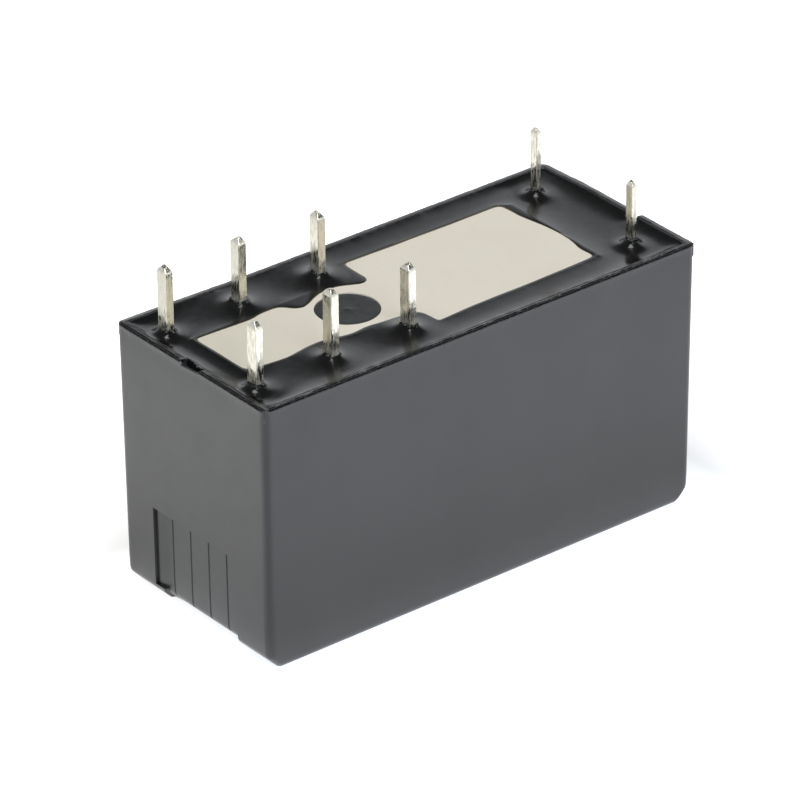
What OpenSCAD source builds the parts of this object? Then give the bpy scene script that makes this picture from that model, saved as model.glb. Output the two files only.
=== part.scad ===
// Miniature printed-circuit power relay with two changeover contacts and eight pins.
// The sealed housing stands on the closed face of its cover, with the pins up.
// X runs along the case, with the coil end at +X and the contact end at -X.
// Y runs across the two rows of pins. Z = 0 is the closed face of the cover.
// All sizes are in millimetres and all angles in degrees.

/* [Case] */
// Length of the cover at its open rim, round the standard pin grid
case_length = 29; // [27:0.1:33]
// Width of the cover
case_width = 12.7; // [12.4:0.1:15]
// Height of the cover from closed face to rim
case_height = 15.7; // [14.6:0.1:18]
// Lean of the two end walls, which lets the cover leave its mould
end_draft = 0.5; // [0:0.1:3]
// Radius of the outer edges and corners
edge_radius = 0.45; // [0.2:0.05:0.6]
// Size of the slant along the lower edge of each end wall
foot_chamfer = 0.8; // [0.4:0.05:0.9]
// Wall thickness around the rim
rim_wall = 0.45; // [0.4:0.05:0.7]
// Wall thickness below the ledge that the base sits on
side_wall = 0.8; // [0.75:0.05:0.85]
// Thickness of the closed face
face_wall = 0.7; // [0.5:0.05:0.8]

/* [Grip pocket] */
// Height of the grooved pocket in the contact-end wall
pocket_height = 4.93; // [3:0.01:7]
// Width of the pocket
pocket_width = 7.25; // [5:0.05:9]
// Sideways offset of the pocket
pocket_offset = 0.3; // [-0.5:0.05:0.5]
// Depth of the pocket
pocket_depth = 0.28; // [0.2:0.02:0.34]
// Distance from one grip groove to the next
groove_pitch = 1.52; // [1:0.02:2]
// Width of each grip groove in the pocket's floor
groove_width = 0.16; // [0.1:0.02:0.3]
// Depth of each grip groove
groove_depth = 0.06; // [0.04:0.01:0.1]
// Height of the lip that closes the foot of the pocket's first strip
pocket_lip = 0.3; // [0.15:0.05:0.5]

/* [Rim notches] */
// Width of the vent notch in the contact-end rim
vent_notch_width = 1.7; // [1:0.1:3]
// Depth of the vent notch
vent_notch_depth = 0.3; // [0.1:0.05:0.5]
// Width of the notch in the coil-end rim
gate_notch_width = 1.15; // [0.8:0.05:2]
// Depth of the notch in the coil-end rim
gate_notch_depth = 0.5; // [0.1:0.05:0.6]
// Sideways offset of the notch in the coil-end rim
gate_notch_offset = -1.28; // [-2:0.02:2]

/* [Base and seal] */
// Depth of the sealing resin below the rim
seal_recess = 0.25; // [0.15:0.05:0.4]
// Depth of the base's bare raised land below the rim
land_recess = 0.2; // [0.1:0.05:0.4]
// Thickness of the sealing resin
seal_thickness = 0.5; // [0.3:0.05:0.8]
// Thickness of the base plate
base_thickness = 1.85; // [1.5:0.05:2.2]
// Diameter of the round plug in the raised land
plug_diameter = 3.5; // [2:0.1:4]
// Distance from the plug to the middle of the case
plug_x = -4.1; // [-6:0.1:-3.5]

/* [Pins] */
// Pitch of the contact pins along the case
contact_pitch = 5; // [4.6:0.05:5.2]
// Distance from the coil pins to the nearest contact pins
coil_spacing = 15; // [14.6:0.1:15.4]
// Distance between the two rows of pins
row_spacing = 7.5; // [7.2:0.05:8]
// Distance of the coil pins from the middle of the case
coil_pin_x = 11.85; // [11.7:0.05:12]
// Length of the pins beyond the rim
pin_length = 3.7; // [2.5:0.1:5]
// Thickness of the contact pins and their stamped plates
pin_thickness = 0.46; // [0.3:0.02:0.5]
// Width of the contact pins
pin_width = 0.74; // [0.5:0.02:1]
// Thickness of the coil pins
coil_pin_thickness = 0.3; // [0.2:0.02:0.4]
// Width of the coil pins
coil_pin_width = 0.5; // [0.3:0.02:0.7]

/* [Contacts] */
// Height of the contact rivets above the closed face
contact_z = 4.6; // [4.2:0.1:6]
// Diameter of the contact rivet heads
contact_diameter = 1.8; // [1.2:0.1:2]
// Thickness of each contact rivet head
contact_head = 0.4; // [0.2:0.05:0.45]
// Thickness of the contact springs
spring_thickness = 0.16; // [0.1:0.02:0.2]
// Width of the contact springs at their root
spring_width = 2.4; // [1.6:0.1:2.8]
// Width of the stamped contact plates
plate_width = 2.6; // [2:0.1:3]

/* [Magnet] */
// Swing of the armature from rest to the core
swing = 3.7; // [2.5:0.1:4]
// Thickness of the armature
armature_thickness = 1; // [0.7:0.05:1.1]
// Width of the armature
armature_width = 6.4; // [5:0.1:8]
// Thickness of the yoke
yoke_thickness = 1; // [0.8:0.05:1]
// Width of the yoke
yoke_width = 6.2; // [5:0.1:6.4]
// Diameter of the core
core_diameter = 4.6; // [3.5:0.1:5]
// Diameter of the core's pole head
pole_diameter = 7.8; // [6:0.1:8]
// Diameter of the winding
winding_diameter = 9; // [7.5:0.1:9.2]

/* [Card] */
// Thickness of the card that links the armature to the springs
card_thickness = 0.8; // [0.6:0.05:1]
// Width of the card at the springs
card_width = 9.9; // [9.6:0.1:10.6]

/* [Hidden] */
$fn = 64;

// Gaps: pressed or bonded parts, moving parts, contacts at rest, seated parts
fit_gap = 0.03;
slide_gap = 0.1;
touch_gap = 0.03;
seat_gap = 0.05;
// Overlap that joins two solids of one piece
joint_overlap = 0.01;

// The works are drawn for this case, as length, width and height, and for this pin grid, as pitch,
// coil spacing, row spacing and place of the coil pins
drawn_case = [29, 12.7, 15.2];
drawn_grid = [5, 15, 7.5, 11.85];

// A longer, wider or higher case spreads the works, and a longer grid makes a longer case
stretch_x = case_length - drawn_case[0];
stretch_y = case_width - drawn_case[1];
stretch_z = case_height - drawn_case[2];
grid_growth = 2 * (contact_pitch - drawn_grid[0]) + coil_spacing - drawn_grid[1];
off_centre = abs(coil_pin_x - drawn_grid[3]);
length = case_length + grid_growth + 2 * off_centre;
row_y = (row_spacing + stretch_y) / 2;
row_growth = 2 * row_y - drawn_grid[2];

// Levels
rim_z = case_height;
land_z = rim_z - land_recess;
seal_top_z = rim_z - seal_recess;
seal_low_z = seal_top_z - seal_thickness;
base_low_z = seal_low_z - base_thickness;
tip_z = rim_z + pin_length;
yoke_base_gap = 0.4;
yoke_top_z = base_low_z - yoke_base_gap;
hinge_z = yoke_top_z - yoke_thickness;
flange_yoke_gap = 0.2;
flange_floor_gap = 0.3;
flange_top_z = hinge_z - flange_yoke_gap;
flange_low_z = face_wall + flange_floor_gap;
flange_height = flange_top_z - flange_low_z;
coil_z = flange_low_z + flange_height / 2;
card_floor_gap = 0.25;
card_low_z = face_wall + card_floor_gap;
card_top_z = card_low_z + card_thickness;
card_mid_z = card_low_z + card_thickness / 2;

// Case
draft_run = tan(end_draft);
cavity_corner = 0.3;
base_length = length - 2 * (rim_wall + (rim_z - base_low_z) * draft_run + seat_gap);
base_width = case_width - 2 * (rim_wall + seat_gap);
seal_length = length - 2 * (rim_wall + (rim_z - seal_low_z) * draft_run + fit_gap);
seal_width = case_width - 2 * (rim_wall + fit_gap);
// Any length well past the model, for cuts that go right through
through = 2 * length;

// Pins
coil_x = coil_pin_x + (stretch_x + grid_growth) / 2;
no_pin_x = coil_x - coil_spacing - stretch_x;
common_pin_x = no_pin_x - contact_pitch;
nc_pin_x = common_pin_x - contact_pitch;
// Share of a pin's width that its tip loses on each side, and the tip's height
tip_taper = 0.36;
pin_tip = 0.45;

// Raised land on the base
land_inner_gap = 1.95;
land_outer_gap = 2.1;
land_end_gap = 0.85;
land_overlap = 0.15;
land_row_gap = 1.6;
land_inner_x = no_pin_x + land_inner_gap;
land_outer_x = coil_x - land_outer_gap;
land_end_x = nc_pin_x + land_end_gap;
land_half_wide = row_y + land_overlap;
land_half_narrow = row_y - land_row_gap;
vent_x = plug_x - (stretch_x + grid_growth) / 2;
plug_rim = 0.35;
plug_depth = 0.3;
plug_sink = 0.05;
plug_nub_diameter = 0.3;
plug_nub_height = 0.08;

// Magnet
yoke_span = yoke_width + row_growth;
yoke_pin_offset = 0.15;
yoke_back_x = coil_x + yoke_pin_offset;
yoke_end_x = yoke_back_x + yoke_thickness;
yoke_foot_gap = 0.25;
yoke_foot_z = card_top_z + yoke_foot_gap;
yoke_bend = 0.25;
pole_pin_gap = 2.85;
pole_x = no_pin_x + pole_pin_gap;
pole_thickness = 0.95;
pole_span = pole_diameter + stretch_z;
rivet_diameter = core_diameter * 0.7;
residual_gap = 0.04;
flange_thickness = 0.85;
flange_side_gap = 0.65;
flange_corner = 1;
front_flange_x = pole_x + pole_thickness + seat_gap;
back_flange_x = yoke_back_x - seat_gap - flange_thickness;
flange_width = min(case_width - 2 * (side_wall + flange_side_gap), flange_height);
bobbin_wall = 0.6;
winding_bore = core_diameter + 2 * (seat_gap + bobbin_wall + fit_gap);
winding_span = winding_diameter + (stretch_y + stretch_z) / 2;
winding_end_gap = 0.05;
tape_end_gap = 0.4;
tape_thickness = 0.1;
lug_height = 2;
lug_wall = 0.35;
coil_pin_hold = 1.5;
coil_pin_low_z = flange_top_z - coil_pin_hold;
wire_diameter = 0.16;
wire_gap = 0.05;

// Armature, with its tongue in the card
armature_x = pole_x - residual_gap;
armature_top_z = hinge_z + yoke_thickness / 2;
armature_card_gap = 0.4;
armature_low_z = card_top_z + armature_card_gap;
armature_shoulder = 1.2;
tongue_width = 3;
lever = hinge_z - card_mid_z;
card_travel = lever * tan(swing);
armature_foot_x = armature_x - armature_thickness - card_travel;

// Leaf that holds the armature against the yoke
leaf_thickness = 0.12;
leaf_width = 3;
leaf_reach = 1.7;
leaf_low_z = hinge_z - leaf_reach;
leaf_x = armature_x - armature_thickness - leaf_reach * tan(swing) - seat_gap;
leaf_hold = 1.5;
leaf_end_x = pole_x + leaf_hold;

// Contact springs and plates
lap = 0.85;
spring_x = common_pin_x - pin_thickness / 2 - slide_gap - spring_thickness;
spring_top_z = hinge_z + lap;
spring_root_z = hinge_z - lap;
tip_width = 1.2;
tip_shoulder_gap = 0.5;
tip_shoulder_z = card_top_z + tip_shoulder_gap;
contact_boss = 0.25;
slit_width = 0.3;
slit_end_diameter = 0.5;
slit_gap = 0.6;
contact_lever = hinge_z - contact_z;
contact_open = (contact_lever + contact_diameter / 2) * tan(swing) + touch_gap;
nc_face_x = spring_x - contact_head - touch_gap;
no_face_x = spring_x + spring_thickness + contact_head + contact_open;
nc_plate_x = nc_face_x - contact_head - pin_thickness;
no_plate_x = no_face_x + contact_head;
plate_rim = 0.2;
plate_low_z = contact_z - contact_diameter / 2 - plate_rim;
plate_taper = 0.45;
plate_bend = 0.4;
strip_top_z = base_low_z - fit_gap;
strip_low_z = strip_top_z - pin_thickness;
shank_diameter = contact_diameter * 0.55;
tail_diameter = contact_diameter * 0.8;
tail_thickness = 0.25;

// Barrier between the two poles
barrier_thickness = 0.6;
barrier_card_gap = 0.55;
barrier_low_z = card_top_z + barrier_card_gap;
barrier_end_gap = 0.3;
barrier_front_x = nc_pin_x + barrier_end_gap;
barrier_back_x = no_pin_x - barrier_end_gap;
barrier_tenon = 0.6;

// Card
card_span = card_width + row_growth;
tongue_rim = 0.6;
fork_rim = 0.8;
fork_depth = 2.6;
card_right_x = armature_foot_x + armature_thickness + slide_gap + tongue_rim;
card_left_x = spring_x - fork_rim;
card_fork_x = spring_x + fork_depth;
card_neck_width = 4.8;
card_corner = 0.5;
card_notch_width = 2.4;
card_notch_depth = 1.6;
runner_width = 0.4;
runner_height = 0.2;
runner_end_gap = 0.5;

// Base
rail_thickness = 0.35;
rail_height = 0.9;
rail_pole_gap = 1.3;
rail_pin_gap = 1.35;
rail_x = pole_x + rail_pole_gap;
rail_end_x = coil_x - rail_pin_gap;
pad_length = 3;
pad_inset = 0.5;
pad_gap = 0.3;

// Box between two opposite corners
module block(low, high) {
    translate(low) cube(high - low);
}

// Flat rectangle with rounded corners, centred on the origin
module rounded_rect(length, width, radius) {
    square([length - 2 * radius, width], center = true);
    square([length, width - 2 * radius], center = true);
    for (sx = [-1, 1], sy = [-1, 1]) {
        translate([sx * (length / 2 - radius), sy * (width / 2 - radius)]) circle(r = radius);
    }
}

// Sheet that stands across X: its outline is drawn in Y and Z
module sheet_across_x(x, thickness) {
    translate([x, 0, 0]) rotate([90, 0, 90]) linear_extrude(height = thickness) children();
}

// Cylinder along +X from a given x
module rod_along_x(x, diameter, length) {
    translate([x, 0, 0]) rotate([0, 90, 0]) cylinder(d = diameter, h = length);
}

// Long upright prism whose end face leans with the draft and meets the rim line
module leaning_prism(length, width, radius) {
    translate([-length / 2, 0, rim_z])
        rotate([0, -end_draft, 0])
            translate([through / 2, 0, 0])
                linear_extrude(height = through, center = true) rounded_rect(through, width, radius);
}

// Body with drafted ends and rounded upright corners, endless in height
module drafted_form(length, width, radius) {
    intersection() {
        leaning_prism(length, width, radius);
        mirror([1, 0, 0]) leaning_prism(length, width, radius);
    }
}

// End view that rounds the two lower corners of the case and is wide open above them
module end_view() {
    translate([-through / 2, edge_radius]) square([through, case_height - edge_radius]);
    translate([edge_radius - case_width / 2, 0]) square([case_width - 2 * edge_radius, case_height]);
    for (side = [-1, 1]) {
        translate([side * (case_width / 2 - edge_radius), edge_radius]) circle(r = edge_radius);
    }
}

// Wedge that widens upwards from a given level and slants the foot of two end walls
module foot_wedge(wall, low_z, slant) {
    foot_half = length / 2 - wall - (rim_z - low_z) * draft_run - slant;
    head_half = foot_half + rim_z;
    rotate([90, 0, 0])
        linear_extrude(height = through, center = true)
            polygon([[-foot_half, low_z], [foot_half, low_z],
                     [head_half, low_z + rim_z], [-head_half, low_z + rim_z]]);
}

module case_form() {
    intersection() {
        drafted_form(length, case_width, edge_radius);
        foot_wedge(0, 0, foot_chamfer);
        rotate([90, 0, 90]) linear_extrude(height = through, center = true) end_view();
    }
}

// Room inside the cover between two levels, with walls of a given thickness
module room(wall, low_z, high_z) {
    intersection() {
        drafted_form(length - 2 * wall, case_width - 2 * wall, cavity_corner);
        block([-through / 2, -through / 2, low_z], [through / 2, through / 2, high_z]);
    }
}

// Strip cut into the end wall to an even depth, which follows the wall down over its slanted foot
module wall_strip(near_y, far_y, low_z, depth) {
    difference() {
        block([-length, far_y, low_z], [-length / 4, near_y, pocket_height]);
        translate([depth, 0, 0]) case_form();
    }
}

// Shallow pocket with fine upright grooves, which gives fingers a hold on the case
module grip_pocket() {
    start = pocket_offset + pocket_width / 2;
    finish = start - pocket_width;
    wall_strip(start, start - groove_pitch, pocket_lip, pocket_depth);
    wall_strip(start - groove_pitch, finish, -face_wall, pocket_depth);
    for (i = [1 : floor((pocket_width - groove_width) / groove_pitch)]) {
        y = start - i * groove_pitch;
        wall_strip(y + groove_width / 2, y - groove_width / 2, -face_wall, pocket_depth + groove_depth);
    }
}

// Notch in the rim of an end wall
module rim_notch(end_x, y, width, depth) {
    translate([end_x, y, rim_z]) cube([4 * rim_wall, width, 2 * depth], center = true);
}

module cover() {
    color([0.10, 0.105, 0.115])
    difference() {
        case_form();
        intersection() {
            room(side_wall, face_wall, rim_z);
            foot_wedge(side_wall, face_wall, foot_chamfer / 2);
        }
        room(rim_wall, base_low_z, 2 * rim_z);
        grip_pocket();
        rim_notch(-length / 2, 0, vent_notch_width, vent_notch_depth);
        rim_notch(length / 2, gate_notch_offset, gate_notch_width, gate_notch_depth);
    }
}

// Outline of the raised land: wide over the coil, narrow between the contact pins, round at the plug
module land_outline(grow) {
    translate([land_inner_x - grow, -land_half_wide - grow])
        square([land_outer_x - land_inner_x + 2 * grow, 2 * (land_half_wide + grow)]);
    translate([land_end_x - grow, -land_half_narrow - grow])
        square([land_inner_x - land_end_x + 2 * grow, 2 * (land_half_narrow + grow)]);
    translate([vent_x, 0]) circle(d = plug_diameter + 2 * (plug_rim + grow));
}

// Upright box round one pin, from a given level to above the pins
module passage(x, y, low_z, thickness, width) {
    height = tip_z - low_z;
    translate([x, y, low_z + height / 2]) cube([thickness, width, height], center = true);
}

module contact_pin_passages(low_z, gap) {
    for (x = [nc_pin_x, common_pin_x, no_pin_x], side = [-1, 1]) {
        passage(x, side * row_y, low_z, pin_thickness + 2 * gap, pin_width + 2 * gap);
    }
}

module coil_pin_passages(low_z, gap) {
    for (side = [-1, 1]) {
        passage(coil_x, side * row_y, low_z, coil_pin_thickness + 2 * gap, coil_pin_width + 2 * gap);
    }
}

// Rails beside the yoke and pads that it is pressed against
module yoke_seat() {
    rail_y = yoke_span / 2 + seat_gap;
    for (side = [-1, 1]) {
        translate([0, side * (rail_y + rail_thickness / 2), 0])
            block([rail_x, -rail_thickness / 2, base_low_z - rail_height],
                  [rail_end_x, rail_thickness / 2, base_low_z + joint_overlap]);
    }
    for (x = [leaf_end_x + pad_gap, rail_end_x - pad_length]) {
        block([x, -yoke_span / 2 + pad_inset, yoke_top_z],
              [x + pad_length, yoke_span / 2 - pad_inset, base_low_z + joint_overlap]);
    }
}

module base() {
    color([0.84, 0.82, 0.77])
    difference() {
        union() {
            translate([0, 0, base_low_z])
                linear_extrude(height = base_thickness)
                    rounded_rect(base_length, base_width, cavity_corner);
            translate([0, 0, base_low_z])
                linear_extrude(height = land_z - base_low_z) land_outline(0);
            yoke_seat();
        }
        contact_pin_passages(base_low_z - rail_height, fit_gap);
        coil_pin_passages(base_low_z - rail_height, fit_gap);
        translate([vent_x, 0, land_z - plug_depth])
            cylinder(d = plug_diameter + 2 * fit_gap, h = 2 * plug_depth);
        block([barrier_front_x - fit_gap, -barrier_thickness / 2 - fit_gap, base_low_z - barrier_tenon],
              [barrier_back_x + fit_gap, barrier_thickness / 2 + fit_gap, base_low_z + barrier_tenon]);
    }
}

module epoxy_seal() {
    color([0.03, 0.03, 0.035])
    difference() {
        translate([0, 0, seal_low_z])
            linear_extrude(height = seal_thickness) rounded_rect(seal_length, seal_width, cavity_corner);
        translate([0, 0, seal_low_z - seal_thickness])
            linear_extrude(height = 3 * seal_thickness) land_outline(fit_gap);
        contact_pin_passages(base_low_z, fit_gap);
        coil_pin_passages(base_low_z, fit_gap);
    }
}

module vent_plug() {
    body_height = plug_depth - plug_sink;
    color([0.16, 0.16, 0.17])
    translate([vent_x, 0, land_z - plug_depth]) {
        cylinder(d = plug_diameter, h = body_height);
        cylinder(d = plug_nub_diameter, h = body_height + plug_nub_height);
    }
}

module pole_barrier() {
    color([0.84, 0.82, 0.77])
        block([barrier_front_x, -barrier_thickness / 2, barrier_low_z],
              [barrier_back_x, barrier_thickness / 2, base_low_z + barrier_tenon - fit_gap]);
}

// Outline of a pin seen from one side, with its tapered tip
module pin_profile(width, low_z) {
    half = width / 2;
    tip_half = half - tip_taper * width;
    polygon([[-half, low_z], [half, low_z], [half, tip_z - pin_tip],
             [tip_half, tip_z], [-tip_half, tip_z], [-half, tip_z - pin_tip]]);
}

// Flat pin with all four sides of its tip tapered, centred on its own axis
module flat_pin(thickness, width, low_z) {
    intersection() {
        rotate([90, 0, 0]) linear_extrude(height = 2 * width, center = true) pin_profile(thickness, low_z);
        rotate([90, 0, 90]) linear_extrude(height = 2 * thickness, center = true) pin_profile(width, low_z);
    }
}

module common_terminal(side) {
    color([0.80, 0.78, 0.72])
    translate([0, side * row_y, 0])
        difference() {
            union() {
                translate([common_pin_x, 0, 0]) flat_pin(pin_thickness, pin_width, spring_root_z);
                block([common_pin_x - pin_thickness / 2, -plate_width / 2, spring_root_z],
                      [common_pin_x + pin_thickness / 2, plate_width / 2, strip_top_z]);
            }
            corner_cuts(common_pin_x, plate_width, spring_root_z, plate_taper);
        }
}

// Side view of a strip with a bend: one arm hangs from the origin, the other runs towards +X.
// The origin is at the outside of the bend.
module bent_strip(thickness, bend, arm, drop) {
    outer = bend + thickness;
    translate([outer, -outer])
        intersection() {
            difference() {
                circle(r = outer);
                circle(r = bend);
            }
            translate([-outer, 0]) square([outer, outer]);
        }
    translate([outer - joint_overlap, -thickness]) square([arm - outer + joint_overlap, thickness]);
    translate([0, -drop]) square([thickness, drop - outer + joint_overlap]);
}

// Triangles that take the two lower corners off a plate
module corner_cuts(plate_x, width, low_z, taper) {
    reach = width / 2 + taper;
    for (side = [-1, 1]) {
        sheet_across_x(plate_x - pin_thickness, 3 * pin_thickness)
            polygon([[side * reach, low_z + 2 * taper], [side * reach, low_z - taper],
                     [side * (reach - 3 * taper), low_z - taper]]);
    }
}

// Pin, strip, bend and upright leg with a hole for the contact rivet
module fixed_terminal(side, pin_x, plate_x) {
    turned = pin_x < plate_x;
    leg_x = turned ? plate_x + pin_thickness : plate_x;
    arm = abs(pin_x - leg_x) + pin_thickness / 2;
    color([0.80, 0.78, 0.72])
    translate([0, side * row_y, 0]) {
        translate([pin_x, 0, 0]) flat_pin(pin_thickness, pin_width, strip_low_z);
        difference() {
            translate([leg_x, 0, strip_top_z])
                mirror([turned ? 1 : 0, 0, 0])
                    rotate([90, 0, 0])
                        linear_extrude(height = plate_width, center = true)
                            bent_strip(pin_thickness, plate_bend, arm, strip_top_z - plate_low_z);
            translate([0, 0, contact_z])
                rod_along_x(plate_x - pin_thickness, shank_diameter + 2 * fit_gap, 3 * pin_thickness);
            corner_cuts(plate_x, plate_width, plate_low_z, plate_taper);
        }
    }
}

module nc_terminal(side) {
    fixed_terminal(side, nc_pin_x, nc_plate_x);
}

module no_terminal(side) {
    fixed_terminal(side, no_pin_x, no_plate_x);
}

module coil_terminal(side) {
    color([0.80, 0.78, 0.72])
    translate([coil_x, side * row_y, 0]) flat_pin(coil_pin_thickness, coil_pin_width, coil_pin_low_z);
}

// Contact rivet along +X: head, shank through a plate and a flattened tail
module contact_rivet(plate, far_diameter, far_thickness) {
    rod_along_x(-contact_head, contact_diameter, contact_head);
    rod_along_x(-joint_overlap, shank_diameter, plate + 2 * joint_overlap);
    rod_along_x(plate, far_diameter, far_thickness);
}

module nc_contact(side) {
    color([0.87, 0.86, 0.84])
    translate([nc_plate_x + pin_thickness, side * row_y, contact_z])
        mirror([1, 0, 0]) contact_rivet(pin_thickness, tail_diameter, tail_thickness);
}

module no_contact(side) {
    color([0.87, 0.86, 0.84])
    translate([no_plate_x, side * row_y, contact_z])
        contact_rivet(pin_thickness, tail_diameter, tail_thickness);
}

// Rivet with a contact face on each side of the spring
module moving_contact(side) {
    color([0.87, 0.86, 0.84])
    translate([spring_x, side * row_y, contact_z])
        contact_rivet(spring_thickness, contact_diameter, contact_head);
}

// Outline of a contact spring's blade: wide root, tapered middle and narrow tip
module blade_outline() {
    root = spring_width / 2;
    tip = tip_width / 2;
    polygon([[-root, spring_top_z], [root, spring_top_z], [root, spring_root_z], [tip, tip_shoulder_z],
             [tip, card_low_z], [-tip, card_low_z], [-tip, tip_shoulder_z], [-root, spring_root_z]]);
}

// Blade with a round boss for the contact and a slit that lets its two halves give separately
module contact_spring(side) {
    boss_diameter = contact_diameter + 2 * contact_boss;
    slit_low_z = contact_z + contact_diameter / 2 + slit_gap;
    slit_high_z = spring_root_z - slit_gap;
    cut_x = spring_x - spring_thickness;
    cut_length = 3 * spring_thickness;
    color([0.78, 0.55, 0.36])
    translate([0, side * row_y, 0])
        difference() {
            union() {
                sheet_across_x(spring_x, spring_thickness) blade_outline();
                translate([0, 0, contact_z]) rod_along_x(spring_x, boss_diameter, spring_thickness);
            }
            translate([0, 0, contact_z]) rod_along_x(cut_x, shank_diameter + 2 * fit_gap, cut_length);
            block([cut_x, -slit_width / 2, slit_low_z], [cut_x + cut_length, slit_width / 2, slit_high_z]);
            for (z = [slit_low_z, slit_high_z]) {
                translate([0, 0, z]) rod_along_x(cut_x, slit_end_diameter, cut_length);
            }
        }
}

// Disc with rounded corners that faces along X
module flange(x) {
    sheet_across_x(x, flange_thickness)
        translate([0, coil_z]) rounded_rect(flange_width, flange_height, flange_corner);
}

// Spool with a lug for each coil pin at its back flange
module bobbin() {
    tube_diameter = core_diameter + 2 * (seat_gap + bobbin_wall);
    tube_length = back_flange_x - front_flange_x + flange_thickness;
    lug_outer_y = row_y + coil_pin_width / 2 + lug_wall;
    lug_end_x = coil_x + coil_pin_thickness / 2 + lug_wall;
    color([0.84, 0.82, 0.77])
    difference() {
        union() {
            flange(front_flange_x);
            flange(back_flange_x);
            translate([0, 0, coil_z]) rod_along_x(front_flange_x, tube_diameter, tube_length);
            for (side = [-1, 1]) {
                mirror([0, side < 0 ? 1 : 0, 0])
                    block([back_flange_x, yoke_span / 2 + slide_gap, flange_top_z - lug_height],
                          [lug_end_x, lug_outer_y, flange_top_z]);
            }
        }
        translate([0, 0, coil_z])
            rod_along_x(front_flange_x - tube_length, core_diameter + 2 * seat_gap, 3 * tube_length);
        coil_pin_passages(coil_pin_low_z, fit_gap);
    }
}

// Hollow cylinder between the bobbin's flanges
module sleeve(bore, diameter, end_gap) {
    start = front_flange_x + flange_thickness + end_gap;
    length = back_flange_x - end_gap - start;
    translate([0, 0, coil_z])
        difference() {
            rod_along_x(start, diameter, length);
            rod_along_x(start - length, bore, 3 * length);
        }
}

module winding() {
    color([0.72, 0.35, 0.16]) sleeve(winding_bore, winding_span, winding_end_gap);
}

module winding_tape() {
    tape_bore = winding_span + 2 * fit_gap;
    color([0.85, 0.72, 0.25]) sleeve(tape_bore, tape_bore + 2 * tape_thickness, tape_end_gap);
}

module core() {
    color([0.62, 0.62, 0.63])
    translate([0, 0, coil_z]) {
        rod_along_x(pole_x, pole_span, pole_thickness);
        rod_along_x(pole_x, core_diameter, yoke_back_x - pole_x - fit_gap);
        rod_along_x(pole_x, rivet_diameter, yoke_end_x - pole_x);
    }
}

// Bent strip over the coil, with a hole for the core's rivet and room for the bound coil pins
module yoke() {
    pin_room = fit_gap + wire_diameter + wire_gap;
    color([0.62, 0.62, 0.63])
    difference() {
        translate([yoke_end_x, 0, yoke_top_z])
            mirror([1, 0, 0])
                rotate([90, 0, 0])
                    linear_extrude(height = yoke_span, center = true)
                        bent_strip(yoke_thickness, yoke_bend, yoke_end_x - pole_x, yoke_top_z - yoke_foot_z);
        translate([0, 0, coil_z])
            rod_along_x(yoke_back_x - yoke_thickness, rivet_diameter + 2 * fit_gap, 3 * yoke_thickness);
        coil_pin_passages(flange_top_z - lug_height, pin_room);
    }
}

// Leaf that lies on the yoke and bends down in front of the armature
module armature_spring() {
    front_x = leaf_x - leaf_thickness;
    color([0.74, 0.73, 0.70])
    translate([front_x, 0, yoke_top_z + leaf_thickness])
        rotate([90, 0, 0])
            linear_extrude(height = leaf_width, center = true)
                bent_strip(leaf_thickness, leaf_thickness, leaf_end_x - front_x,
                           yoke_top_z + leaf_thickness - leaf_low_z);
}

// Lead that is bound round the coil pin, runs over the bobbin's flange and drops to the winding
module lead_wire(side) {
    half_wire = wire_diameter / 2;
    wire_z = flange_top_z + fit_gap;
    drop_x = back_flange_x - fit_gap - wire_diameter;
    chord = max(0, pow(winding_span / 2, 2) - pow(row_y - half_wire, 2));
    wound_z = coil_z + sqrt(chord) + wire_gap;
    inner_x = coil_pin_thickness / 2 + fit_gap;
    inner_y = coil_pin_width / 2 + fit_gap;
    color([0.72, 0.35, 0.16])
    translate([0, side * row_y, 0]) {
        translate([coil_x, 0, wire_z])
            linear_extrude(height = wire_diameter)
                difference() {
                    square([2 * (inner_x + wire_diameter), 2 * (inner_y + wire_diameter)], center = true);
                    square([2 * inner_x, 2 * inner_y], center = true);
                }
        block([drop_x, -half_wire, wire_z], [coil_x - inner_x, half_wire, wire_z + wire_diameter]);
        block([drop_x, -half_wire, wound_z], [drop_x + wire_diameter, half_wire, wire_z + wire_diameter]);
    }
}

// Outline of the armature: broad plate, sloping shoulders and a tongue that enters the card
module armature_outline() {
    half = armature_width / 2;
    tongue = tongue_width / 2;
    polygon([[-half, armature_top_z], [half, armature_top_z], [half, armature_low_z + armature_shoulder],
             [tongue + armature_shoulder / 2, armature_low_z], [tongue, armature_low_z], [tongue, card_low_z],
             [-tongue, card_low_z], [-tongue, armature_low_z], [-tongue - armature_shoulder / 2, armature_low_z],
             [-half, armature_low_z + armature_shoulder]]);
}

// Armature drawn against the pole face and then swung back to its rest position
module armature() {
    color([0.62, 0.62, 0.63])
    translate([armature_x, 0, hinge_z])
        rotate([0, swing, 0])
            translate([-armature_x, 0, -hinge_z])
                sheet_across_x(armature_x - armature_thickness, armature_thickness) armature_outline();
}

// Outline of the card: a wide fork at the springs, a neck and a slot for the armature's tongue
module card_outline() {
    fork_length = card_fork_x - card_left_x;
    neck_length = card_right_x - card_fork_x;
    difference() {
        union() {
            translate([card_left_x + fork_length / 2, 0])
                rounded_rect(fork_length, card_span, card_corner);
            translate([card_fork_x + neck_length / 2 - card_corner, 0])
                rounded_rect(neck_length + 2 * card_corner, card_neck_width, card_corner / 2);
        }
        translate([armature_foot_x - slide_gap, -tongue_width / 2 - slide_gap])
            square([armature_thickness + 2 * slide_gap, tongue_width + 2 * slide_gap]);
        for (side = [-1, 1]) {
            translate([spring_x - slide_gap, side * row_y - tip_width / 2 - slide_gap])
                square([spring_thickness + 2 * slide_gap, tip_width + 2 * slide_gap]);
        }
        translate([card_left_x - card_notch_depth, -card_notch_width / 2])
            square([2 * card_notch_depth, card_notch_width]);
    }
}

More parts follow.
